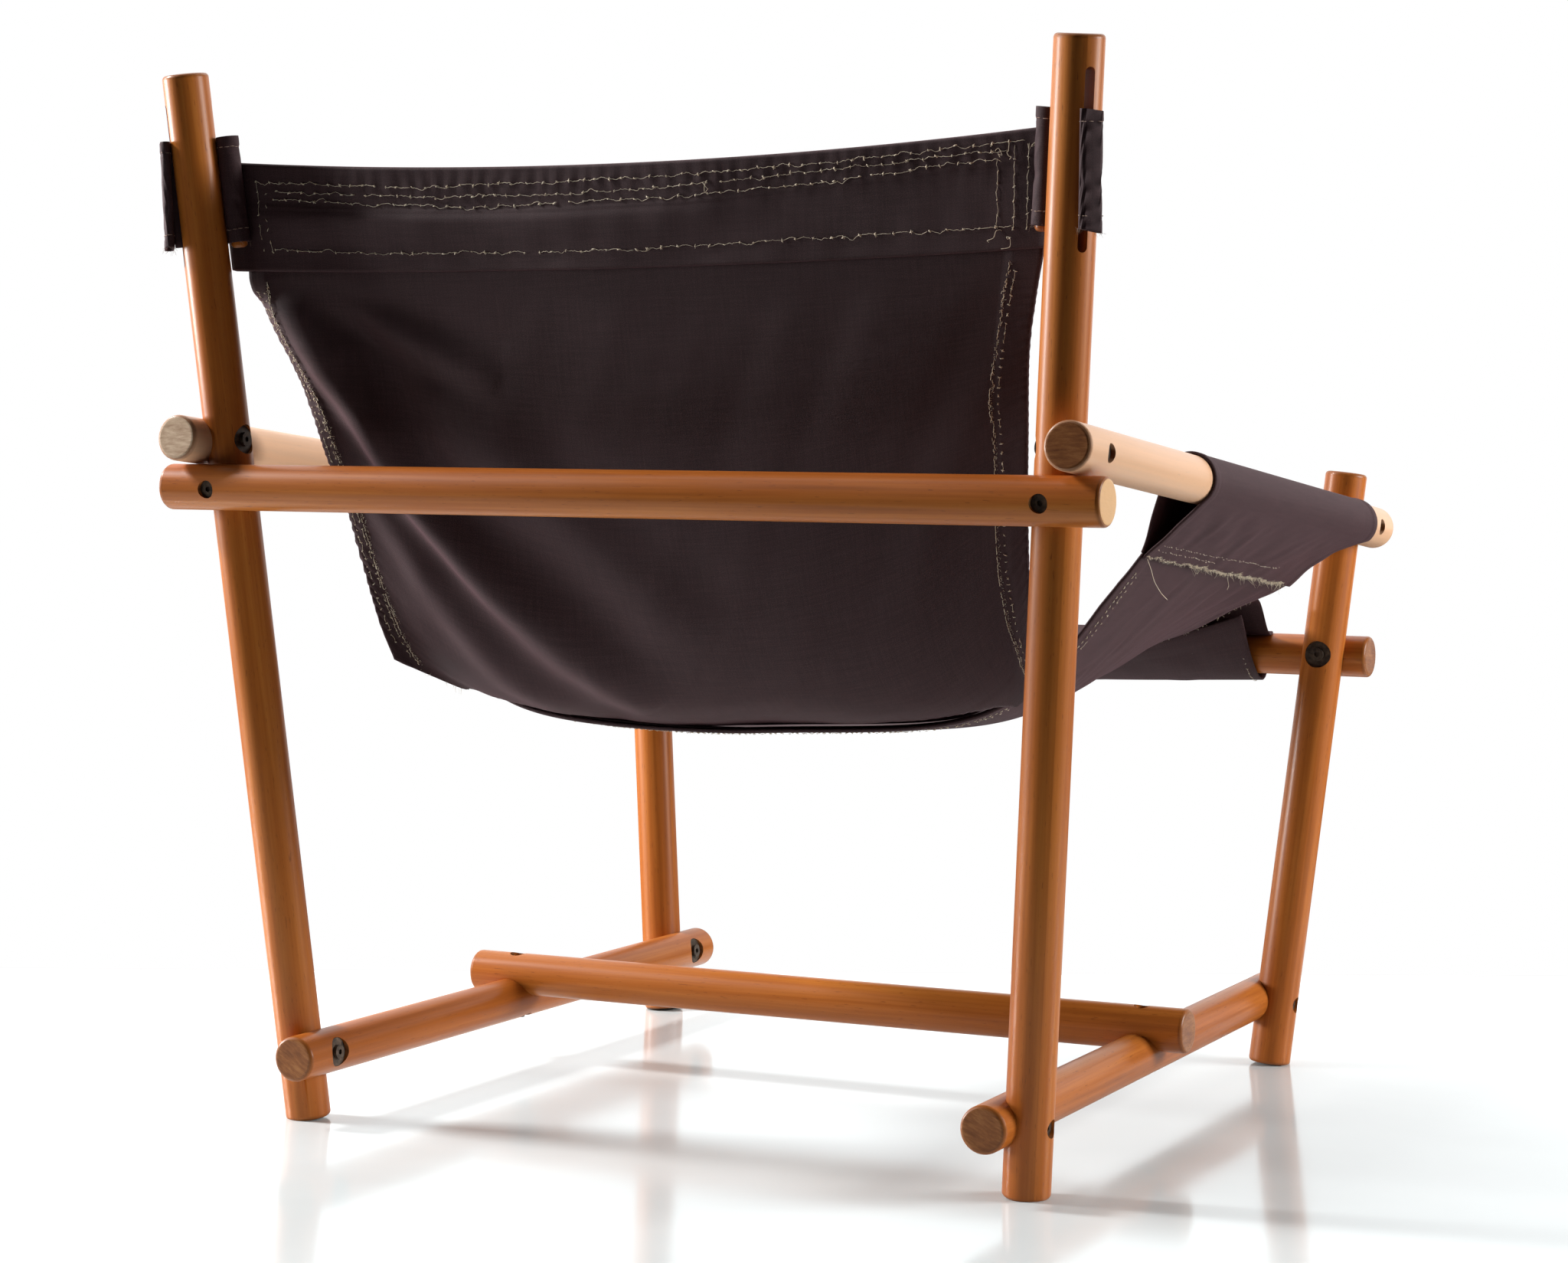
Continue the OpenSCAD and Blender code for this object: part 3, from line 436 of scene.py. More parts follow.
def mirrored(shell):
    """The same shell on the right side: x changes sign and the faces turn round."""
    p, f, w = shell
    return p * [-1, 1, 1], [list(q)[::-1] for q in f], w


def waves(a, b, seed, count, longest, shortest, size):
    """Sum of plane waves over coordinates a and b, in random directions, from long to short."""
    rng = np.random.default_rng(seed)
    total = np.zeros(np.broadcast(a, b).shape)
    for k in range(count):
        wave = longest * (shortest / longest) ** (k / max(1, count - 1))
        turn, phase = rng.uniform(0, 2 * np.pi, 2)
        total += wave / longest * np.sin(2 * np.pi * (a * np.cos(turn) + b * np.sin(turn)) / wave + phase)
    return size * total / max(1.0, np.sqrt(count) * 0.5)


def cloth_waves(uv, *shape):
    return waves(uv[..., 0], uv[..., 1], *shape)


def strands(paths, radius):
    """Four-sided tubes along many paths at once: square rings across each path, closed at both ends."""
    paths = np.asarray(paths, float)
    n, k = paths.shape[:2]
    along = units(np.gradient(paths, axis=1))
    aside = units(np.cross(along, np.array([0.31, 0.17, 0.93])))
    across = np.cross(along, aside)
    r = np.broadcast_to(radius, (n, k))[..., None, None]
    turn = np.arange(4) * np.pi / 2
    ring = aside[:, :, None] * np.cos(turn)[:, None] + across[:, :, None] * np.sin(turn)[:, None]
    points = (paths[:, :, None] + ring * r).reshape(-1, 3)
    ids = np.arange(n * k * 4).reshape(n, k, 4)
    faces = np.concatenate([quads(ids, np.roll(ids, -1, 2)), ids[:, 0, ::-1], ids[:, -1]])
    return points, faces.tolist(), np.zeros((len(points), 2))


def spans(path, n, run, where):
    """Points, normals and sideways directions of short stretches of a path, at distances along it."""
    p, up = read_at(where, run, path), read_at(where, run, n)
    return p, up, units(np.cross(up, np.gradient(p, axis=1)))


def stitches(path, n, pitch, length, radius, seed, wander=0.35, skip=0.0, loose=0.1):
    """Thread stitches along a path on the cloth: low arches of the given length, one per pitch.
    Some wander to the side, a few are missing, and a few stand up as loose loops."""
    rng = np.random.default_rng(seed)
    run = run_of(path)
    start = np.arange(0.5, run[-1] - length, pitch)
    start = start + rng.uniform(-0.2, 0.2, len(start)) * pitch
    start = np.clip(start[rng.random(len(start)) >= skip], 0, run[-1] - length)
    one = (len(start), 1)
    t = np.linspace(0, 1, 5)
    p, up, side = spans(path, n, run, start[:, None] + t * length)
    sway = np.cumsum(rng.normal(0, wander, one), 0) * 0.25 + rng.normal(0, wander, one)
    sway = np.clip(sway, -2.5 * wander, 2.5 * wander) + rng.normal(0, wander * 0.5, one) * (t - 0.5)
    arch = np.sin(np.pi * t) * radius * (1 + 3 * (rng.random(one) < loose) * rng.random(one))
    paths = p + side * sway[..., None] + up * (arch - 0.3 * radius)[..., None]
    return strands(paths, radius * np.array([0.5, 1, 1.1, 1, 0.5]) * rng.uniform(0.75, 1.25, one))


def frayed(path, n, count, length, radius, seed, lean=(0, 0, -1.0), curl=0.8):
    """Loose yarn ends along a path: each starts near it and bends at random, thinner to its tip."""
    rng = np.random.default_rng(seed)
    i = rng.integers(0, len(path), count)
    k = 7
    size = length * rng.uniform(0.3, 1.0, (count, 1, 1)) ** 1.5
    turn = np.cumsum(rng.normal(0, curl, (count, k, 3)), 1) * 0.35
    heading = n[i][:, None] * 0.5 + rng.normal(0, 0.6, (count, 1, 3)) + np.asarray(lean, float) + turn
    steps = units(heading) * size / (k - 1)
    steps[:, 0] = 0
    paths = path[i][:, None] + rng.normal(0, 0.5, (count, 1, 3)) + np.cumsum(steps, 1)
    thick = radius * rng.uniform(0.6, 1.3, (count, 1)) * np.linspace(1, 0.45, k)
    return strands(paths, thick)


# Sling grids. u runs across and v along, ordered so that normals point to the face that is seen first
def share(n, power=1.0):
    return np.linspace(0, 1, n) ** power


def band_grid(nu=260, nv=64):
    """Back band, face to the rear: its ends lie on the inner rolls and its top edge sags between."""
    s, v = (1 - 2 * share(nu))[:, None], share(nv)[None]
    v = 1 - (1 - v) * (0.98 - 0.07 * s * s)
    z = mix(BAND_BOTTOM, BAND_TOP, v)
    p = settled(stack(s * band_half(z), band_y(z), z - (1 - s * s) * BAND_SAG * v), 1.0)
    x = p[..., 0]
    near = ramp((np.abs(s) - 0.86) / 0.14)
    relief = waves(x, z, 11, 14, 260, 22, 0.9) * (1 - near)
    puckers = np.sin(2 * np.pi * x / 13.0 + waves(x, z, 12, 6, 120, 30, 1.4))
    relief += 0.35 * puckers * np.exp(-np.abs(v - 0.85) * 9)
    return p, relief


def back_grid(nu=220, nv=170):
    """Back panel, face to the rear, with the tension folds that run down from its left edge."""
    s, t = (2 * share(nu) - 1)[:, None], share(nv)[None]
    p = settled(panel_base(s + 0 * t, t + 0 * s), 1.0)
    p[..., 0] += np.maximum(s, 0) * curve(t, LEFT_EDGE) + np.maximum(-s, 0) * curve(t, RIGHT_EDGE)
    uv = arc_lengths(p)
    free = ramp((t - 0.16) / 0.06) * ramp((0.97 - t) / 0.06)
    relief = cloth_waves(uv, 21, 16, 330, 26, 1.3)
    for line, size, width in FOLDS:
        spots = [(np.interp(a, s[:, 0], uv[:, int(b * (nv - 1)), 0]), np.interp(b, t[0], uv[nu // 2, :, 1]))
                 for a, b in line]
        d, along = line_distance(uv, np.array(spots))
        relief += size * np.sin(np.pi * np.clip(along, 0, 1)) ** 0.5 * (
            np.exp(-(d / width) ** 2) - 0.55 * np.exp(-((np.abs(d) - 1.7 * width) / width) ** 2))
    edge = (1 - np.abs(s)) * 300
    left = uv[-1:, :, 0] - uv[..., 0]
    relief -= 0.42 * np.clip(15 - left, 0, 15) * ramp((0.62 - t) / 0.25) * ramp((t - 0.15) / 0.04)
    puckers = np.sin(2 * np.pi * uv[..., 1] / 11 + waves(uv[..., 1], edge, 23, 5, 90, 25, 1.5))
    relief += 0.5 * puckers * np.exp(-edge / 12)
    return p, relief * free


def curve(t, points):
    """Smooth curve through (share, value) points, softened by averaging along the shares."""
    fine = np.linspace(0, 1, 201)
    return np.interp(t, fine, smoothed(np.interp(fine, *np.array(points).T), 120))


# Back panel's side edges: shift toward +x at shares down it
LEFT_EDGE = [(0, 3), (0.15, 3), (0.20, 9), (0.25, 8), (0.35, 1), (0.42, -3), (0.54, -6), (0.645, -7.2),
             (0.80, -2.5), (0.93, 2.8), (1, 0)]
RIGHT_EDGE = [(0, 0), (0.13, 0), (0.20, 6), (0.33, 11.5), (0.56, 9), (0.66, 8), (0.85, 4), (1, 0)]
# Folds of the back panel: points as shares across (from -1 to 1) and down, height, and half width
FOLDS = [
    ([(0.93, 0.12), (0.80, 0.17), (0.67, 0.225), (0.545, 0.26), (0.37, 0.30)], 4.0, 15),
    ([(0.93, 0.02), (0.885, 0.20), (0.84, 0.315), (0.79, 0.395), (0.76, 0.46), (0.72, 0.53), (0.60, 0.585),
      (0.46, 0.635), (0.31, 0.69), (0.16, 0.80)], 12.5, 25),
    ([(0.90, 0.56), (0.78, 0.66), (0.64, 0.75), (0.50, 0.86)], 3.0, 22),
    ([(0.50, 0.36), (0.32, 0.46), (0.10, 0.56), (-0.10, 0.64)], 3.2, 26),
    ([(-0.97, 0.25), (-0.86, 0.42), (-0.70, 0.60), (-0.5, 0.75)], 1.6, 22),
]


def line_distance(uv, line):
    """Signed distance of grid points from a bent line, and the share of its length where they meet it."""
    run = run_of(line)
    best = np.full(uv.shape[:2], 1e9)
    sign, share_at = np.ones(uv.shape[:2]), np.zeros(uv.shape[:2])
    for k in range(len(line) - 1):
        a, d = line[k], line[k + 1] - line[k]
        low = -1e9 if k == 0 else 0
        high = 1e9 if k == len(line) - 2 else 1
        t = np.clip(((uv - a) @ d) / (d @ d), low, high)
        gap = uv - (a + t[..., None] * d)
        dist = np.linalg.norm(gap, axis=-1)
        closer = dist < best
        best = np.where(closer, dist, best)
        sign = np.where(closer, np.sign(gap[..., 0] * d[1] - gap[..., 1] * d[0]), sign)
        share_at = np.where(closer, (run[k] + t * (run[k + 1] - run[k])) / run[-1], share_at)
    return best * sign, share_at


def cross_rear(a):
    """Rear edge of the cross panel at share a of its half width; the seat panel's edge follows it."""
    return mix(CROSS_REAR_Y, SLEEVE_REAR_Y, a ** 4)


def seat_half(y):
    return mix(SEAT_HALF_FRONT + SEAT_SPREAD, seam_x(y) - 2 * LAYER, ramp((y - LEAVE_Y - 38) / 140))


SEAT_ROWS, WRAP_ROWS, HEM_ROWS = 110, 34, 46
HEM_RUN = 56


def seat_grid(nu=150):
    """Seat panel, face up: over the seat, round the seat rail and back under to its hem."""
    s = (1 - 2 * share(nu))[:, None]
    y = mix(cross_rear(np.abs(s)) - 12, LEAVE_Y, share(SEAT_ROWS, 0.8)[None, :-1])
    x = s * seat_half(y)
    top = stack(x, y, mix(pan_z(x, y), lifted_z(x, y, 1.08), ramp((y - LEAVE_Y) / 30)))
    q = share(WRAP_ROWS)[None]
    a = mix(-leave_angle, math.radians(100), q)
    wrap = stack(s * (SEAT_HALF_FRONT + SEAT_SPREAD * (1 - q)), SEAT_RAIL[1] - WRAP_R * np.sin(a),
                 SEAT_RAIL[2] + WRAP_R * np.cos(a))
    hem = SEAT_RAIL[1] + HEM_RUN
    q = share(HEM_ROWS)[None, 1:]
    begin, x0 = wrap[0, -1, 1:], s * SEAT_HALF_FRONT
    end_z = pan_z(x0, hem) - (lifted_z(x0, hem, 3) - pan_z(x0, hem))
    under = stack(x0 + 0 * q, bezier(begin[0], begin[0] + 2, SEAT_RAIL[1] + 2, hem, q),
                  bezier(begin[1], begin[1] - 22, SEAT_RAIL[2] - WRAP_R - 2.9 * 9.5, end_z, q))
    p = settled(np.concatenate([top, wrap, under], 1))
    uv = arc_lengths(p)
    v = np.arange(p.shape[1])[None]
    off_rail = 1 - ramp((v - SEAT_ROWS + 10) / 12) * ramp((SEAT_ROWS + WRAP_ROWS + 6 - v) / 10)
    relief = cloth_waves(uv, 31, 14, 240, 24, 1.0) * off_rail
    return p, np.clip(relief, -0.2, 2) * ramp(v / 12)


def cross_grid(nu=200, nv=110):
    """Cross panel, face up: from arm seam to arm seam under the seat."""
    r, v = (1 - 2 * share(nu))[:, None], share(nv)[None]
    a = np.abs(r)
    y = mix(cross_rear(a), mix(CROSS_FRONT_Y, SEAM_FRONT_Y, ramp(a * 1.5)), v)
    x = r * seam_x(y)
    p = settled(stack(x, y, pan_z(x, y)))
    uv = arc_lengths(p)
    sag = np.abs(cloth_waves(uv, 41, 14, 200, 22, 1.4))
    return p, -sag * ramp((a - 0.55) / 0.2) * ramp((1 - a) / 0.05)


def sleeve_grid(seed, nu=150, nv=190):
    """Left arm sleeve, face outwards: up from its outer hem, over the rail and down to the inner seam."""
    dist, radius = math.hypot(SEAM_DROP, SEAM_IN), WRAP_R + 0.3
    start, opened = math.atan2(-SEAM_DROP, -SEAM_IN), math.acos(radius / dist)
    flap = math.sqrt(dist ** 2 - radius ** 2)
    turn_l = radius * (2 * math.pi - 2 * opened)
    w = share(nu)[:, None] * (2 * flap + turn_l)
    v = share(nv)[None]
    outer, inner = w < flap, w > flap + turn_l
    down = np.where(outer, 1 - w / flap, np.where(inner, (w - flap - turn_l) / flap, 0))
    y = mix(SLEEVE_REAR_Y, SLEEVE_FRONT_Y, v) + (SEAM_FRONT_Y - SLEEVE_FRONT_Y) * v * (1 - (1 - down) ** 3)
    a = start + opened + np.clip((w - flap) / turn_l, 0, 1) * (2 * math.pi - 2 * opened)
    ex = np.where(outer, -SEAM_IN + 0.81 * LAYER - 0.59, -SEAM_IN + 0.3)
    ez = np.where(outer, -SEAM_DROP - 0.59 * LAYER - 0.81, -SEAM_DROP + 1)
    c = arm_at(y)
    p = stack(c[..., 0] + mix(radius * np.cos(a), ex, down), y, c[..., 2] + mix(radius * np.sin(a), ez, down))
    uv = arc_lengths(p)
    slack = np.sin(np.pi * np.clip(down, 0, 1)) ** 0.8
    swell = slack * np.where(outer, 2.2, 0.8) * np.sin(np.pi * v) ** 0.5
    lean = uv[..., 1] + uv[..., 0] * 0.55
    rows = np.sin(lean / 17 + cloth_waves(uv, seed + 1, 6, 150, 40, 1.6))
    return p, swell + slack * (waves(uv[..., 0], lean, seed, 12, 170, 20, 1.0) + 0.6 * rows)


def toggle_place(q):
    """From the left toggle's own frame to the chair's. It lies on the post's axis at the rolls, and its axes
    run out along the slot, across it and up the post."""
    out = unit(SLOT_DIR - REAR_DIR * (SLOT_DIR @ REAR_DIR))
    return ROLL_MID + q @ np.stack([out, np.cross(REAR_DIR, out), REAR_DIR])


INNER_AT = np.array([-math.cos(INNER_TURN), math.sin(INNER_TURN)]) * ROLL_OFF
CREASES = 7


def round_place(q):
    return toggle_place(q + [INNER_AT[0], INNER_AT[1], 0])


def flat_place(q):
    """The outer roll leans away from the post at its foot."""
    c, s = math.cos(SLAT_LEAN), math.sin(SLAT_LEAN)
    x, y, z = q[..., 0], q[..., 1], q[..., 2]
    return toggle_place(np.stack([SLAT_OFF + x * c - z * s, y, x * s + z * c], -1))


def outline(half_w, r, n=88):
    """Middle line of a roll's cloth and its normals: a stadium of radius r, straight for half_w each way."""
    t = np.linspace(0, 2 * math.pi, n, endpoint=False)
    out = np.stack([np.cos(t), np.sin(t)], -1)
    return out * r + np.sign(np.round(out[:, 1:], 6)) * [0, half_w], out


def roll_shell(line, normals, wall, place, toward, slant, seed):
    """One cloth roll: outer and inner faces round its outline, joined at both ends. The outer face has soft
    creases except where it faces the post, a pinch below its middle, and a hem line near each end."""
    rng = np.random.default_rng(seed)
    v = np.linspace(-1, 1, 72)[None]
    turn = np.arctan2(normals[:, 1], normals[:, 0])[:, None]
    free = ramp((0.45 - normals @ np.asarray(toward)) / 0.9)[:, None]
    crease = np.zeros((len(line), 72))
    for _ in range(CREASES):
        size = rng.uniform(0.08, 0.26)
        crease += size * np.sin(turn * rng.integers(1, 6) + v * rng.uniform(3, 13) + rng.uniform(0, 6))
    pinch = 1.3 * np.exp(-((v + rng.uniform(0.15, 0.3)) / 0.13) ** 2) * np.abs(normals[:, 1:]) ** 3
    hem = 0.3 * (ramp((v - 0.80) / 0.03) + ramp((-0.74 - v) / 0.03))
    hem = hem - 0.3 * np.exp(-((np.abs(v) - 0.79) / 0.02) ** 2)
    outer = wall / 2 + free * (-np.abs(crease) * 0.8 - pinch + hem + 0.15)
    z = v * ROLL_L / 2 + np.where(v > 0, slant[0], slant[1]) * line[:, 1:] * v ** 6
    rings = []
    for off in (outer, np.full_like(outer, -wall / 2)):
        q = line[:, None] + normals[:, None] * off[..., None]
        rings.append(place(np.concatenate([q, np.broadcast_to(z, outer.shape)[..., None]], -1)))
    k, m = outer.shape
    ids = np.arange(k * m).reshape(k, m)
    nxt = np.roll(ids, -1, 0)
    quad = quads(ids, nxt)
    k *= m
    low = np.stack([ids[:, 0], ids[:, 0] + k, nxt[:, 0] + k, nxt[:, 0]], -1)
    high = np.stack([nxt[:, -1], nxt[:, -1] + k, ids[:, -1] + k, ids[:, -1]], -1)
    uv = np.stack(np.broadcast_arrays(run_of(line)[:, None], z), -1).reshape(-1, 2)
    shell = (np.concatenate([r.reshape(-1, 3) for r in rings]),
             np.concatenate([quad, quad[:, ::-1] + k, low, high]).tolist(), np.concatenate([uv, uv]))
    return shell, rings[0]


def toggle_shells(seed):
    """Cloth of one left toggle: a round roll inside, a flat roll outside and two layers through the slot.
    Returns its shells and its stitches."""
    kinds = [(*outline(0.0, 7.45), 1.9, round_place, INNER_AT / -ROLL_OFF, (0.05, 0.05)),
             (*outline(5.0, 2.65), 1.5, flat_place, np.array([-1.0, 0.0]), (0.11, 0.20))]
    shells, tubes = [], []
    for k, kind in enumerate(kinds):
        shell, face = roll_shell(*kind, seed + k)
        shells.append(shell)
        out = units(np.cross(np.roll(face, -1, 0) - np.roll(face, 1, 0), np.gradient(face, axis=1)))
        for j, row in enumerate((64, 9)):
            loop = np.concatenate([face[:, row], face[:1, row]])
            up = np.concatenate([out[:, row], out[:1, row]])
            tubes.append(stitches(loop + up * 0.1, up, 4.4, 3.6, 0.27, seed + 10 * k + j, 0.25, 0.05))
        tubes.append(frayed(face[::2, 0], out[::2, 0], 26, 5.0, 0.10, seed + 20 + k, (0, 0, -0.9), 0.6))
    x, z = np.linspace(INNER_AT[0] + 3.5, SLAT_OFF - 2.0, 26)[:, None], np.linspace(-39.0, 39.0, 30)[None]
    for side in (-1, 1):
        shells.append(Cloth(toggle_place(stack(x, side * 1.02, z)), face=0.93, back=0.93).shell())
    return shells, tubes


# Materials
def srgb(*c):
    """Linear colour from display values 0 to 255."""
    return tuple((v / 255 / 12.92) if v <= 10 else ((v / 255 + 0.055) / 1.055) ** 2.4 for v in c)


SOCKETS = {"colour": "Base Color", "rough": "Roughness", "metal": "Metallic", "coat": "Coat Weight",
           "coat_rough": "Coat Roughness", "sheen": "Sheen Weight", "sheen_rough": "Sheen Roughness",
           "sheen_tint": "Sheen Tint", "specular": "Specular IOR Level"}


class Nodes:
    """Short way to fill the node tree of a material or a world."""

    def __init__(self, owner):
        owner.use_nodes = True
        self.owner, self.tree = owner, owner.node_tree
        self.tree.nodes.clear()

    def add(self, kind, inputs=(), **values):
        """A node with its settings, its inputs joined to sockets or given values."""
        node = self.tree.nodes.new(kind)
        for key, value in values.items():
            setattr(node, key, value)
        for key, value in dict(inputs).items():
            socket = node.inputs[key]
            if isinstance(value, bpy.types.NodeSocket):
                self.tree.links.new(value, socket)
            else:
                socket.default_value = (*value, 1) if socket.type == "RGBA" else value
        return node

    def place(self, kind="Object"):
        return self.add("ShaderNodeTexCoord").outputs[kind]

    def math(self, op, *args):
        return self.add("ShaderNodeMath", enumerate(args), operation=op).outputs[0]

    def total(self, *parts):
        """Sum of values, each given with its weight."""
        terms = [self.math("MULTIPLY", value, weight) for value, weight in parts]
        out = terms[0]
        for term in terms[1:]:
            out = self.math("ADD", out, term)
        return out

    def noise(self, where, scale, detail=3.0, rough=0.5, stretch=None, seed=0.0):
        if stretch is not None:
            where = self.add("ShaderNodeMapping", {0: where, "Scale": stretch}).outputs[0]
        inputs = {"Vector": where, "Scale": scale, "Detail": detail, "Roughness": rough, "W": seed}
        return self.add("ShaderNodeTexNoise", inputs, noise_dimensions="4D").outputs["Fac"]

    def ramp(self, value, *stops):
        """Colours at places from 0 to 1, each stop a place and three display values."""
        node = self.add("ShaderNodeValToRGB", {0: value})
        elements = node.color_ramp.elements
        while len(elements) < len(stops):
            elements.new(0.5)
        for element, (at, *colour) in zip(elements, stops):
            element.position = at
            element.color = (*srgb(*colour), 1)
        return node.outputs[0]

    def grey(self, value, low, high, out_low=0.0, out_high=1.0):
        """value from low..high carried to out_low..out_high and held there."""
        return self.add("ShaderNodeMapRange", {0: value, 1: low, 2: high, 3: out_low, 4: out_high}).outputs[0]

    def blend(self, fac, a, b):
        return self.add("ShaderNodeMix", {0: fac, 6: a, 7: b}, data_type="RGBA").outputs[2]

    def finish(self, bump, distance, strength, **values):
        """The material, from its bump and the shader's values under their short names."""
        height = self.add("ShaderNodeBump", {"Height": bump, "Distance": distance, "Strength": strength})
        inputs = {SOCKETS[key]: value for key, value in values.items()}
        shader = self.add("ShaderNodeBsdfPrincipled", {"Normal": height.outputs[0], **inputs})
        self.add("ShaderNodeOutputMaterial", {0: shader.outputs[0]})
        return self.owner


def wood_material(name, start, end, seed, tone=0.0, pale_end=0.0, pale_start=0.0):
    """Lacquered beech along one dowel: grain in the dowel's own frame, dark end grain, and, where tone is
    given, a paler colour all over that is a painted highlight.
    """
    m = Nodes(bpy.data.materials.new(name))
    start, end = np.asarray(start, float), np.asarray(end, float)
    axis, length = unit(end - start), np.linalg.norm(end - start) * MM
    x = unit(np.cross([0.2, 1, 0.1], axis))
    turn = Matrix(np.stack([x, np.cross(axis, x), axis], 1).tolist()).to_euler()
    place = {"Vector": m.place(), "Location": tuple(start * MM), "Rotation": tuple(turn)}
    own = m.add("ShaderNodeMapping", place, vector_type="TEXTURE").outputs[0]
    grain = lambda step, *shape: m.noise(own, *shape, seed + step)
    # Wide tone bands, fine streaks, short dark flecks, and a slow change along the dowel
    bands, streaks = grain(0, 30, 3, 0.6, (1, 1, 0.05)), grain(3, 260, 4, 0.6, (1, 1, 0.018))
    flecks, cloud = grain(7, 900, 1, 0.5, (1, 1, 0.12)), grain(11, 7, 2, 0.5, (1, 1, 0.5))
    colour = m.ramp(m.total((bands, 0.55), (streaks, 0.45)),
                    (0.30, 134, 69, 20), (0.47, 168, 93, 32), (0.60, 188, 112, 45), (0.75, 206, 136, 66))
    colour = m.blend(m.grey(cloud, 0.35, 0.75, 0.0, 0.4), colour, srgb(158, 76, 22))
    colour = m.blend(m.grey(flecks, 0.66, 0.74, 0.0, 0.55), colour, srgb(112, 54, 18))
    # Paler all over where tone is given: a painted highlight for the strong light on the arm rails
    if tone > 0:
        colour = m.blend(tone, colour, srgb(240, 206, 172))
    # Ends: dark ring at the rounded edge, and end grain on the cut face
    z = m.add("ShaderNodeSeparateXYZ", {0: own}).outputs[2]
    gap = m.math("MINIMUM", z, m.math("SUBTRACT", length, z))
    worn = m.math("SUBTRACT", grain(5, 160, 3, 0.6, None), 0.5)
    rim = m.grey(m.total((gap, 1.0), (worn, 0.003)), 0.0008, 0.0040, 0.7, 0.0)
    colour = m.blend(rim, colour, srgb(122, 70, 30))
    facing = m.add("ShaderNodeVectorMath", {0: m.place("Normal"), 1: tuple(axis)}, operation="DOT_PRODUCT")
    face = m.grey(m.math("ABSOLUTE", facing.outputs["Value"]), 0.82, 0.95)
    ray, rings = grain(9, 420, 3, 0.65, (1, 0.22, 1)), grain(13, 90, 4, 0.6, (1, 0.5, 1))
    both = m.total((ray, 0.5), (rings, 0.5))
    cut = m.ramp(both, (0.35, 104, 58, 30), (0.5, 132, 80, 42), (0.66, 160, 106, 62))
    if pale_start > 0:
        low_end = m.math("MULTIPLY", m.math("LESS_THAN", z, length * 0.5), pale_start)
        cut = m.blend(low_end, cut, m.ramp(both, (0.38, 168, 138, 112), (0.62, 216, 194, 168)))
    if pale_end > 0:
        high_end = m.math("MULTIPLY", m.math("GREATER_THAN", z, length * 0.5), pale_end)
        cut = m.blend(high_end, cut, srgb(222, 178, 128))
    rough = m.grey(grain(2, 22, 4, 0.6, (1, 1, 0.25)), 0.3, 0.75, 0.32, 0.5)
    bump = m.total((streaks, 0.6), (grain(1, 60, 2, 0.5, (1, 1, 0.1)), 0.8),
                   (m.grey(flecks, 0.66, 0.74), -0.15), (m.math("MULTIPLY", face, ray), 1.6))
    return m.finish(bump, 0.00022, 0.5, colour=m.blend(face, colour, cut), rough=rough, specular=0.2,
                    coat=0.12, coat_rough=0.2)


def canvas_material(name, seed):
    """Old dark canvas: crossed yarns about 1 mm apart, uneven dye, lint and a soft pinkish sheen."""
    m = Nodes(bpy.data.materials.new(name))
    where = m.add("ShaderNodeUVMap", uv_map="cloth").outputs[0]
    dye = lambda step, *shape: m.noise(where, *shape, seed + step)
    split = m.add("ShaderNodeSeparateXYZ", {0: where}).outputs
    wobble, drift = [m.math("SUBTRACT", dye(k, (700, 45)[k], 2, 0.5, None), 0.5) for k in range(2)]
    bend = m.total((wobble, 0.0007), (drift, 0.003))
    across, along = [m.math("SINE", m.math("MULTIPLY", m.math("ADD", split[k], bend), 2 * math.pi / pitch))
                     for k, pitch in enumerate((0.0010, 0.0009))]
    slubs = m.math("ADD", dye(2, 500, 3, 0.6, (1, 0.05, 1)), dye(3, 500, 3, 0.6, (0.05, 1, 1)))
    blot, grain = dye(4, 9, 4, 0.6, None), dye(5, 1500, 1, 0.5, None)
    base = m.ramp(m.total((slubs, 0.20), (grain, 0.6)),
                  (0.38, 38, 23, 25), (0.5, 54, 34, 36), (0.66, 76, 52, 53))
    base = m.blend(m.grey(blot, 0.3, 0.7, 0.0, 0.5), base, srgb(56, 34, 37))
    lint, patches = dye(6, 420, 2, 0.5, None), dye(7, 60, 2, 0.5, None)
    specks = m.math("MULTIPLY", m.grey(lint, 0.765, 0.80, 0.0, 0.75), m.grey(patches, 0.5, 0.65))
    colour = m.blend(specks, base, srgb(170, 152, 138))
    bump = m.total((m.math("MULTIPLY", across, along), 0.25), (slubs, 0.5))
    return m.finish(bump, 0.0003, 0.5, colour=colour, rough=0.72, specular=0.22,
                    sheen=0.08, sheen_rough=0.4, sheen_tint=srgb(206, 130, 146))


def thread_material(name, light, dark, seed):
    """Cotton sewing thread or loose yarn, in uneven pale tones."""
    m = Nodes(bpy.data.materials.new(name))
    tone = m.noise(m.place(), 120, 3, 0.6, None, seed)
    fuzz = m.noise(m.place(), 3000, 2, 0.5, None, seed + 1)
    colour = m.ramp(m.total((tone, 0.6), (fuzz, 0.4)), (0.35, *dark), (0.62, *light))
    return m.finish(fuzz, 0.0001, 0.6, colour=colour, rough=0.85, specular=0.2, sheen=0.2)


def steel_material(name, seed):
    """Browned steel: dark, with lighter and duller patches here and there."""
    m = Nodes(bpy.data.materials.new(name))
    tone = m.noise(m.place(), 260, 4, 0.6, None, seed)
    fine = m.noise(m.place(), 1400, 2, 0.5, None, seed + 1)
    colour = m.ramp(tone, (0.35, 60, 50, 43), (0.6, 96, 80, 66), (0.78, 140, 114, 90))
    return m.finish(fine, 0.0001, 0.4, colour=colour, rough=m.grey(tone, 0.3, 0.7, 0.34, 0.58), metal=0.6)


def dress(name, material):
    NODES[name].data.materials.clear()
    NODES[name].data.materials.append(material)


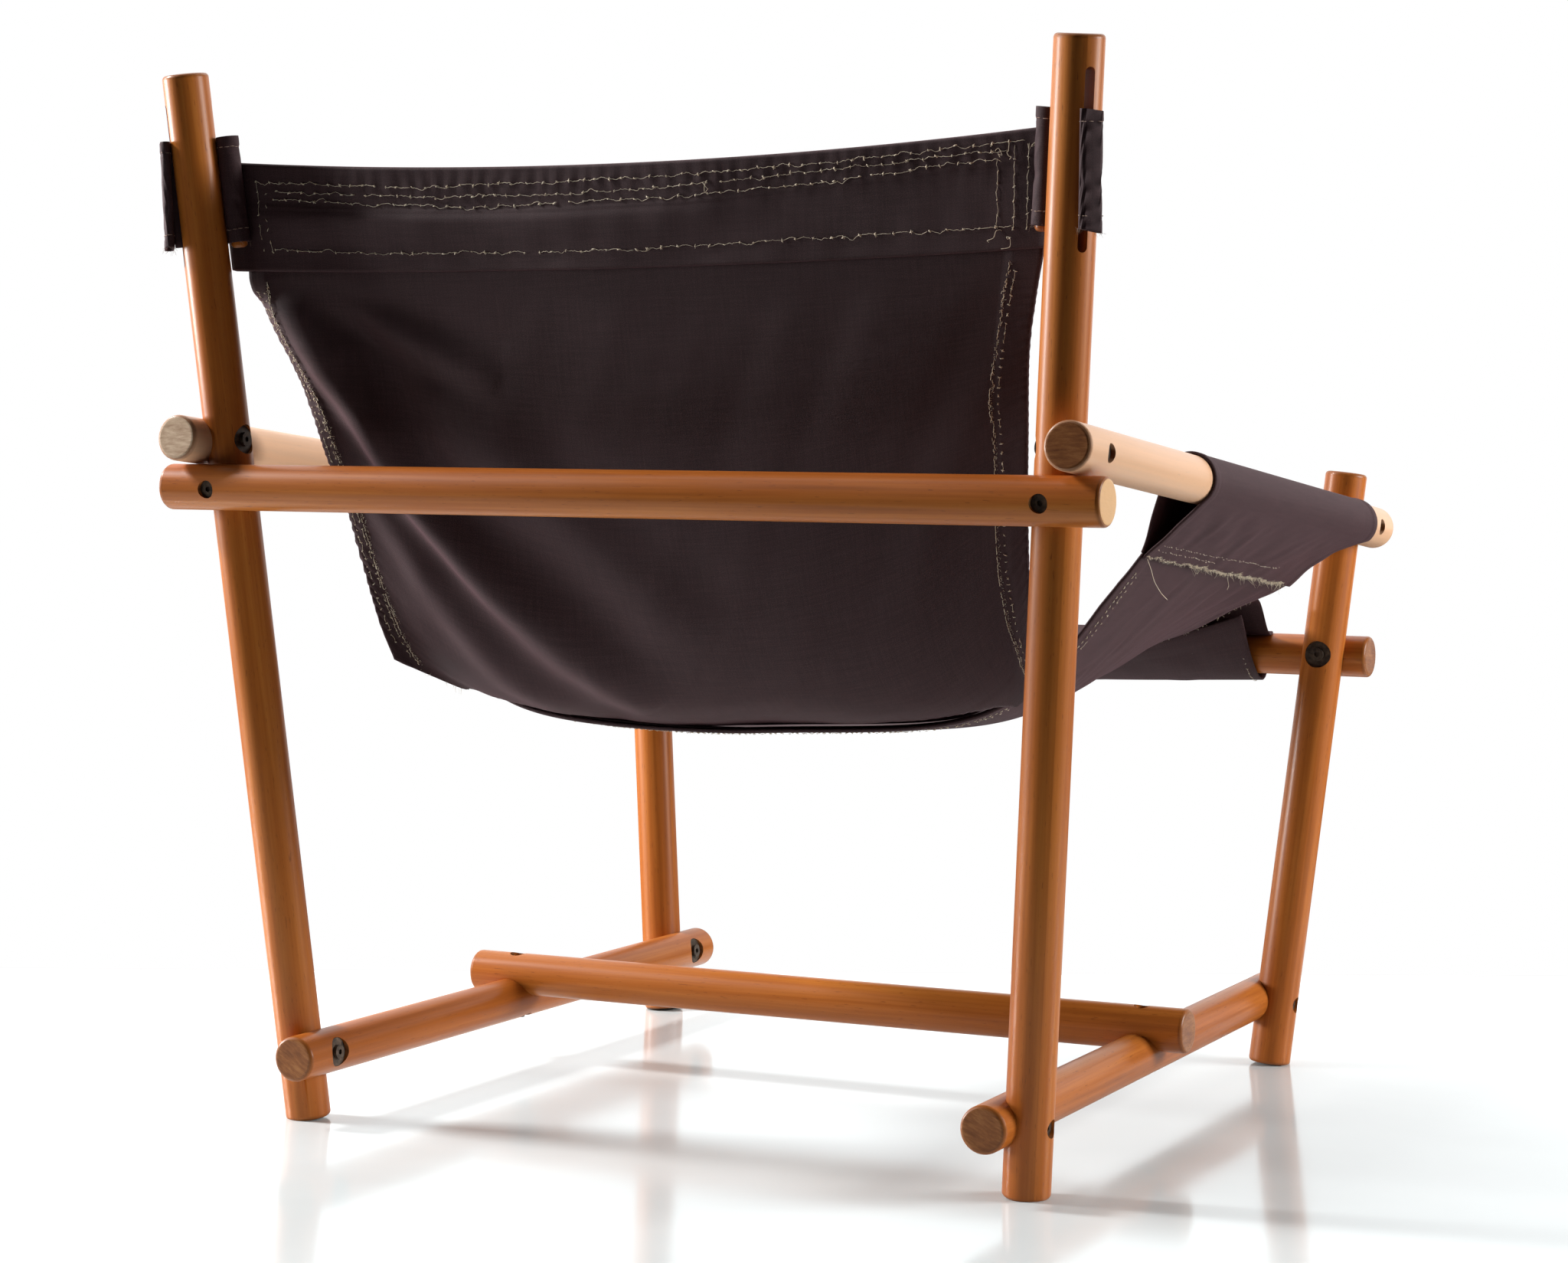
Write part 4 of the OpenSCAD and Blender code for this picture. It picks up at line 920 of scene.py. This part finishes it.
def right(p):
    return np.asarray(p, float) * [-1, 1, 1]


def dress_pair(node, name, a, b, seed_left, seed_right, tone=0.0, pale=0.0):
    """Wood on a dowel of the left side and on its mirror image."""
    dress(node + "_left", wood_material(name + "_left", a, b, seed_left, tone, 0, pale))
    dress(node + "_right", wood_material(name + "_right", right(a), right(b), seed_right, tone))


# Dowels with their ends, or with their last crossing and how far they run past it, how much paler their sides
# are painted as a highlight, and how much paler one of their cut ends is
cross_pt = on_line(STR_REAR, STR_FRONT, -8.5, 1) - unit(np.cross(ACROSS, STR_DIR)) * AXIS_GAP
dowels = [("rear_post", REAR_FOOT, REAR_TOP, 0.0, 0.0), ("front_post", FRONT_FOOT, FRONT_TOP, 0.0, 0.0),
          # The arm rails' tone of 0.55 is a painted highlight
          ("arm_rail", ARM_REAR - ARM_DIR * ARM_BEHIND, ARM_FRONT + ARM_DIR * ARM_PAST, 0.55, 0.8),
          ("side_stretcher", STR_REAR - STR_DIR * 39.5, STR_FRONT + STR_DIR * 33.5, 0.0, 0.0)]
for k, (name, a, b, tone, pale) in enumerate(dowels):
    dress_pair(name, name, a, b, 1.7 * k + 1, 2.3 * k + 40, tone, pale)
rails = [("back_rail", BACK_RAIL, 44, 0.8), ("seat_rail", SEAT_RAIL, 36, 0.0),
         ("cross_stretcher", cross_pt, 38.5, 0.0)]
for k, (name, tip, past, pale) in enumerate(rails):
    end = tip + ACROSS * past
    dress(name, wood_material(name, end, right(end), 3.1 * k + 80, 0.0, pale))
# Toggle pins with the heights of their ends above the middle of their rolls
pins = [("outer", flat_place, -38.0, 38.0), ("inner", round_place, -44.0, 32.0)]
for k, (which, place, low, high) in enumerate(pins):
    a, b = [place(np.array([0, 0, z])) for z in (low, high)]
    dress_pair("toggle_pin_" + which, "pin_" + which, a, b, 5.3 * k + 100, 5.3 * k + 110)
steel = steel_material("steel", 3.0)
for name in ("joint_bolts", "joint_washers", "sleeve_nuts"):
    dress(name, steel)

canvas = canvas_material("canvas", 1.0)
thread = thread_material("thread", (232, 218, 194), (178, 158, 130), 5.0)
yarn = thread_material("yarn", (240, 228, 204), (196, 176, 148), 9.0)
dull_thread = thread_material("dull_thread", (172, 142, 122), (104, 78, 70), 12.0)


# Cloth pieces
# Sewn lines of the band as shares along it and up it: the fold's edge, three rows above it and one below,
# each row with the share of its thread that is still there
FOLD_AT = [(0, 0.58), (0.144, 0.57), (0.26, 0.55), (0.39, 0.55), (0.58, 0.59), (0.74, 0.67), (0.87, 0.72),
           (1, 0.74)]
BAND_ROWS = [
    ([(0.028, 0.85), (0.148, 0.84), (0.264, 0.82), (0.36, 0.85), (0.49, 0.87), (0.63, 0.89), (0.74, 0.90),
      (0.87, 0.93), (0.96, 0.92)], 0.97),
    ([(0.05, 0.76), (0.176, 0.74), (0.263, 0.72), (0.36, 0.73), (0.49, 0.75), (0.63, 0.80), (0.74, 0.83),
      (0.87, 0.86), (0.95, 0.85)], 0.93),
    ([(0.051, 0.68), (0.145, 0.66), (0.26, 0.64), (0.30, 0.62), (0.395, 0.63), (0.45, 0.66), (0.58, 0.67),
      (0.74, 0.73), (0.87, 0.78), (0.93, 0.77)], 0.95),
    ([(0.043, 0.21), (0.158, 0.18), (0.39, 0.17), (0.63, 0.19), (0.74, 0.20), (0.95, 0.20)], 0.97)]
# Rows down the band's ends: share along it, height of their top, and share of the thread still there
BAND_ENDS = [(0.9235, 0.88, 0.9), (0.9415, 0.95, 0.9), (0.956, 0.93, 0.95), (0.046, 0.9, 0.6),
             (0.057, 0.9, 0.5)]
BAND_TAILS = [(0.915, 0.90), (0.92, 0.86), (0.935, 0.93), (0.94, 0.10), (0.93, 0.16), (0.60, 0.80),
              (0.965, 0.88)]
# Torn hems of the back panel, as shares across it and down it
RIGHT_FRAY = [(0.035, 0.155), (0.040, 0.325), (0.045, 0.405), (0.040, 0.525), (0.041, 0.70), (0.036, 0.80),
              (0.023, 0.905), (0.012, 0.97)]
LEFT_FRAY = [(0.977, 0.155), (0.976, 0.5), (0.974, 0.75), (0.971, 0.97)]


def cloth_piece(name, shell, node):
    ob = mesh_piece(name, *shell[:2], canvas, shell[2])
    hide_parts(node)
    return ob


def thread_piece(name, tubes, material=None):
    return mesh_piece(name, *merged(tubes)[:2], material or thread)


def hem_swell(distance, width, extra):
    """Extra thickness of a doubled hem: full up to its width from the edge, then a short step down."""
    return extra * (1 - ramp((distance - width) / 1.6))


def edge_distances(p):
    """Distance of each grid point from the u edges and from each v edge, along the cloth."""
    uv = arc_lengths(p)
    u = np.minimum(uv[..., 0] - uv[:1, :, 0], uv[-1:, :, 0] - uv[..., 0])
    return u, uv[..., 1], uv[:, -1:, 1] - uv[..., 1]


p, relief = band_grid()
across, up = share(p.shape[0])[:, None], share(p.shape[1])[None]
ends = edge_distances(p)[0]
fold = np.interp(across, *np.array(FOLD_AT).T)
below = fold - up
bulge = 4.5 * np.exp(-((below - 0.07) / np.where(below < 0.07, 0.09, 0.24)) ** 2)
relief = relief + bulge * ramp((0.80 - across) / 0.5) * ramp(ends / 60)
face = BAND_T / 2 + 0.7 * ramp((up - fold) / 0.02) + 0.25 * np.exp(-((up - fold) / 0.03) ** 2)
band = Cloth(p, face=face + hem_swell(ends, 16, 0.8), back=BAND_T / 2, relief=relief)
band_piece = cloth_piece("sling_band", band.shell(), "back_band")

p, relief = back_grid()
run = arc_lengths(p)[..., 0]
ragged = 24 + 0.8 * np.sin(np.arange(p.shape[1]) * 0.9)
swell = hem_swell(run[-1:] - run, 15, 1.3) + hem_swell(run - run[:1], ragged, 1.0)
back = Cloth(p, face=CLOTH_T / 2 + swell, relief=relief)
back_piece = cloth_piece("sling_back", back.shell(), "back_panel")

p, relief = seat_grid()
seat = Cloth(p, face=CLOTH_T / 2 + hem_swell(edge_distances(p)[2], 14, 0.7), relief=relief)
seat_piece = cloth_piece("sling_seat", seat.shell(), "seat_panel")

p, relief = cross_grid()
rear, front = edge_distances(p)[1:]
lip = hem_swell(rear, 20, 1.2) + hem_swell(front, 16, 0.9)
pan = Cloth(p, back=CLOTH_T / 2 + lip, relief=relief)
pan_piece = cloth_piece("sling_cross", pan.shell(), "cross_panel")

# Worked out for the left side, and turned into the right side's
TURNED = {"left": lambda shell: shell, "right": mirrored}
sleeves, sleeve_pieces = {}, {}
for side, seed in (("left", 51), ("right", 61)):
    p, relief = sleeve_grid(seed)
    ends = np.minimum(*edge_distances(p)[1:])
    sleeves[side] = Cloth(p, face=CLOTH_T / 2 + hem_swell(ends, 9, 0.6), relief=relief)
    shell = TURNED[side](sleeves[side].shell())
    sleeve_pieces[side] = cloth_piece("sling_sleeve_" + side, shell, "arm_sleeve_" + side)

toggle_pieces, toggle_threads = {}, {}
for side, seed in (("left", 71), ("right", 81)):
    shell, sewn = [TURNED[side](merged(parts)) for parts in toggle_shells(seed)]
    toggle_pieces[side] = cloth_piece("sling_toggle_" + side, shell, "toggle_loop_" + side)
    toggle_threads[side] = thread_piece("stitches_toggle_" + side, [sewn], dull_thread)


# Stitching and loose ends
def line_on(cloth, line, side=1, lift=0.15, n=700):
    """Points and outward normals along a bent line on the cloth, given as shares (u, v)."""
    q = np.asarray(line, float)
    run = run_of(q)
    return cloth.at(*read_at(np.linspace(0, run[-1], n), run, q).T, side, lift)


def basting(line, pitch, seed, seen=1.0, radius=0.15, knot=0.5, wander=0.8):
    """Loose running thread along a line on the cloth: stretches between knots that wander and stand off a
    little, some of them missing, and a small knot of thread at each stitch."""
    path, n = line
    rng = np.random.default_rng(seed)
    run = run_of(path)
    start = np.cumsum(rng.uniform(0.75, 1.25, max(2, int(run[-1] / pitch)))) * pitch
    start = start[start < run[-1] - pitch]
    count, t = len(start), np.linspace(0, 1, 12)
    p, up, side = spans(path, n, run, start[:, None] + t * pitch * 1.02)
    way, hump = np.gradient(p, axis=1), np.sin(np.pi * t)
    ends = rng.normal(0, wander * 0.5, count + 1)
    sway = mix(ends[:-1, None], ends[1:, None], t)
    sway = sway + np.cumsum(rng.normal(0, wander * 0.45, (count, 12)), 1) * hump
    off = 0.05 + hump * rng.uniform(0.1, 0.6, (count, 1))
    paths = p + side * sway[..., None] + up * off[..., None]
    keep = rng.random(count) < seen
    parts = [strands(paths[keep], radius * rng.uniform(0.8, 1.2, (keep.sum(), 1)) * np.ones(12))]
    q = np.linspace(-1, 1, 5)
    for _ in range(2):
        turn = rng.uniform(0, np.pi, count)[:, None]
        lie = side[:, 0] * np.cos(turn) + way[:, 0] / pitch * 11 * np.sin(turn)
        size = rng.uniform(0.5, 1.5, (count, 1, 1)) * 1.1
        knots = (paths[:, 0] + up[:, 0] * 0.2)[:, None] + lie[:, None] * q[:, None] * size
        knots = knots + up[:, :1] * (1 - q ** 2)[:, None] * 0.5
        thick = knot * rng.uniform(0.5, 1.1, (count, 1)) * np.array([0.4, 0.9, 1, 0.9, 0.4])
        parts.append(strands(knots, thick))
    return merged(parts)


def loose_end(cloth, u, v, side, steps, radius=0.22):
    """A single hanging thread: starts on the cloth and follows the given steps in millimetres."""
    p, n = cloth.at(np.array([u]), np.array([v]), side, 0.3)
    way = p[0] + np.concatenate([[[0, 0, 0]], np.cumsum(steps, 0)])
    fine = smoothed(read_at(np.linspace(0, len(way) - 1, 40), range(len(way)), way), 6)
    return strands(fine[None], radius * np.ones(40))


tubes = [basting(line_on(band, row), 11.5, 200 + k, seen) for k, (row, seen) in enumerate(BAND_ROWS)]
for k, (u, top, seen) in enumerate(BAND_ENDS):
    row = line_on(band, [(u + 0.001, 0.06), (u, top)])
    tubes.append(basting(row, 9.0, 220 + k, seen, knot=0.3, wander=0.35))
for k, (u, v) in enumerate(BAND_TAILS):
    rng = np.random.default_rng(400 + k)
    tubes.append(loose_end(band, u, v, 1, rng.normal(0, 1, (5, 3)) * [3.2, 0.5, 3.2] + [0, 0.35, -0.6], 0.2))
for k, v in enumerate((0.84, 0.73, 0.15)):
    tubes.append(stitches(*line_on(band, [(0.03, v), (0.97, v)], -1), 5.2, 4.2, 0.32, 230 + k, 0.3, 0.05))
band_threads = thread_piece("stitches_band", tubes)

tubes = [basting(line_on(back, [(u - 0.008, v) for u, v in RIGHT_FRAY]), 6.5, 300, 0.25, 0.14, 0.30, 0.2),
         basting(line_on(back, [(0.992, 0.16), (0.991, 0.97)]), 6.0, 301, 0.5, 0.16, 0.32, 0.3),
         basting(line_on(back, [(0.982, 0.16), (0.981, 0.97)]), 6.0, 302, 0.6, 0.16, 0.34, 0.3)]
back_threads = thread_piece("stitches_back", tubes)
tubes = [stitches(*line_on(back, RIGHT_FRAY), 1.7, 2.4, 0.22, 310, 0.8, 0.15, 0.4),
         frayed(*line_on(back, RIGHT_FRAY, n=900), 500, 2.4, 0.13, 311, (0, 0.3, 0)),
         stitches(*line_on(back, LEFT_FRAY), 2.0, 2.6, 0.28, 312, 0.8, 0.15, 0.4),
         frayed(*line_on(back, LEFT_FRAY, n=900), 500, 2.6, 0.15, 313, (0, 0.3, 0)),
         frayed(*line_on(back, [(0.985, 0.995), (0.93, 0.998)], n=60), 14, 6.0, 0.13, 314)]
back_yarns = thread_piece("yarns_back", tubes, yarn)

# Rows on the sleeves, in millimetres from the outer hem of the flat sleeve
FLAT_L = 198.8
SEAMS = [[(15, 0.02), (16, 0.45), (17, 0.80)], [(9, 0.02), (9.5, 0.40)]]
LONG_TAIL = np.array([[2, -3, -8], [1, -4, -9], [3, -7, -9], [2, -8, -5.0]])
SHORT_TAIL = np.array([[0, 1, -4], [1, 0, -5], [-1, 1, -3.0]])
sleeve_threads = {}
for k, (side, cloth) in enumerate(sleeves.items()):
    rng = np.random.default_rng(500 + k)
    rows = [line_on(cloth, [(a / FLAT_L, v) for a, v in line]) for line in SEAMS]
    seams = [stitches(*row, 3.4, 2.0, 0.18, 500 + 10 * i + k, 0.5, 0.25, 0.2) for i, row in enumerate(rows)]
    ragged = [(0.018 * a ** 2, v) for a, v in zip(rng.random(60), np.linspace(0.0, 0.93, 60))]
    rows = [frayed(*line_on(cloth, ragged, 1, -0.2, 1400), 620, 2.6, 0.15, 520 + k, (0, 0, -0.6), 1.0),
            frayed(*line_on(cloth, ragged[18:], 1, 0.3, 900), 620, 3.4, 0.15, 530 + k, (0, 0, -0.3), 1.3),
            frayed(*line_on(cloth, ragged[:24], 1, 0.3, 900), 160, 2.6, 0.15, 535 + k, (0, 0, -0.3), 1.3),
            frayed(*line_on(cloth, [(0.0, 0.30), (0.0, 0.95)], 1, 0.5, 300), 90, 9.0, 0.14, 540 + k,
                   (0, 0, -0.5), 1.2),
            loose_end(cloth, 0.0, 0.015, 1, LONG_TAIL), loose_end(cloth, 0.0, 0.55, 1, SHORT_TAIL, 0.18)]
    sleeve_threads[side] = [thread_piece("yarns_sleeve_" + side, [TURNED[side](merged(rows))], yarn),
                            thread_piece("stitches_sleeve_" + side, [TURNED[side](merged(seams))])]

across_at = lambda v: line_on(pan, [(0.01, v), (0.5, v), (0.99, v)], -1)
tubes = [stitches(*across_at(0.032), 4.6, 2.4, 0.30, 600, 0.5, 0.1, 0.2),
         basting(across_at(0.045), 6.0, 601, 0.3, 0.14, 0.25, 0.25),
         frayed(*line_on(pan, [(0.0, 0.99), (1.0, 0.99)], -1, 0.0, 900), 240, 3.0, 0.12, 602, (0, 0, -0.6))]
pan_threads = thread_piece("stitches_cross", tubes)
v_hem = 1 - 12 / seat.uv[0, -1, 1]
tubes = [basting(line_on(seat, [(0.01, v_hem), (0.99, v_hem)], -1), 6.0, 610, 0.6, 0.16, 0.3, 0.25),
         basting(line_on(seat, [(0.012, 0.05), (0.012, v_hem)]), 6.0, 611, 0.6, 0.16, 0.25, 0.25),
         basting(line_on(seat, [(0.988, 0.05), (0.988, v_hem)]), 6.0, 612, 0.6, 0.16, 0.25, 0.25)]
seat_threads = thread_piece("stitches_seat", tubes)


def declare(piece, cloth, with_pieces):
    """Works out the cut size of a hung sheet, its longest arcs both ways; the sizes are not used further."""
    p, uv = cloth.mid, arc_lengths(cloth.mid)
    width, length = round(np.ptp(uv[..., 0]) * MM, 3), round(uv[:, -1, 1].max() * MM, 3)
    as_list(with_pieces)


declare(band_piece, band, [band_threads])
declare(back_piece, back, [back_threads, back_yarns])
declare(seat_piece, seat, [seat_threads])
declare(pan_piece, pan, [pan_threads])
for side in ("left", "right"):
    declare(sleeve_pieces[side], sleeves[side], sleeve_threads[side])


# Floor, light and background
def area_light(name, place, aim, size, power):
    """A rectangle of light that the camera doesn't see, with its place and size in metres."""
    light = bpy.data.lights.new(name, "AREA")
    light.shape = "RECTANGLE"
    light.size, light.size_y = size
    light.energy = power
    ob = new_object(name, light)
    away = unit(np.asarray(place, float) - aim)
    side = unit(np.cross([0, 0, 1], away))
    set_axes(ob, side, np.cross(away, side), away, place)
    ob.visible_camera = False


def floor_material():
    """White glossy floor with faint smudges, so that legs show a soft short reflection."""
    m = Nodes(bpy.data.materials.new("floor"))
    smudge, fine = m.noise(m.place(), 3, 4, 0.6), m.noise(m.place(), 240, 3, 0.5)
    colour = m.blend(m.grey(smudge, 0.3, 0.7), (0.65, 0.70, 0.705), (0.69, 0.74, 0.745))
    rough = m.grey(smudge, 0.3, 0.7, 0.09, 0.15)
    return m.finish(fine, 0.0001, 0.05, colour=colour, rough=rough, specular=0.5)


# The floor reaches from the near to the far distance ahead of the camera, and to both sides
FLOOR_NEAR, FLOOR_FAR, FLOOR_HALF = 2000, 3430, 1700
ahead, aside = np.array([math.sin(YAW), -math.cos(YAW)]), np.array([-math.cos(YAW), -math.sin(YAW)])
corners = [(np.array(EYE[:2]) + ahead * d + aside * w) * MM
           for d, w in ((FLOOR_NEAR, -FLOOR_HALF), (FLOOR_NEAR, FLOOR_HALF),
                        (FLOOR_FAR, FLOOR_HALF), (FLOOR_FAR, -FLOOR_HALF))]
floor_mesh = bpy.data.meshes.new("floor")
floor_mesh.from_pydata([(x, y, 0) for x, y in corners], [], [(3, 2, 1, 0)])
floor_mesh.materials.append(floor_material())
floor = new_object("floor", floor_mesh)

area_light("wall_glow", (1.5, -3.2, 1.7), (0, 0, 0.8), (9.0, 3.6), 135)
area_light("left_key", (2.35, 0.72, 2.2), (0, 0, 0.4), (0.5, 0.5), 105)
area_light("left_low", (2.7, 0.72, 0.75), (0, 0.2, 0.5), (0.8, 0.8), 90)
area_light("right_box", (-2.6, -0.9, 1.2), (0, 0, 0.4), (1.2, 1.4), 88)
area_light("top_box", (0.6, -0.9, 3.0), (0, 0, 0.0), (3.2, 2.6), 55)

# A dim white studio that the camera sees as plain white
sky = Nodes(bpy.data.worlds.new("studio"))
bpy.context.scene.world = sky.owner
ray = sky.add("ShaderNodeLightPath").outputs
seen = sky.math("MAXIMUM", ray["Is Camera Ray"], ray["Is Transmission Ray"])
dim, plain = [sky.add("ShaderNodeBackground", {0: (1, 1, 1), 1: power}).outputs[0] for power in (0.05, 1.0)]
chosen = sky.add("ShaderNodeMixShader", {0: seen, 1: dim, 2: plain}).outputs[0]
sky.add("ShaderNodeOutputWorld", {0: chosen})
bpy.context.scene.view_settings.view_transform = "Standard"

bpy.context.view_layer.update()
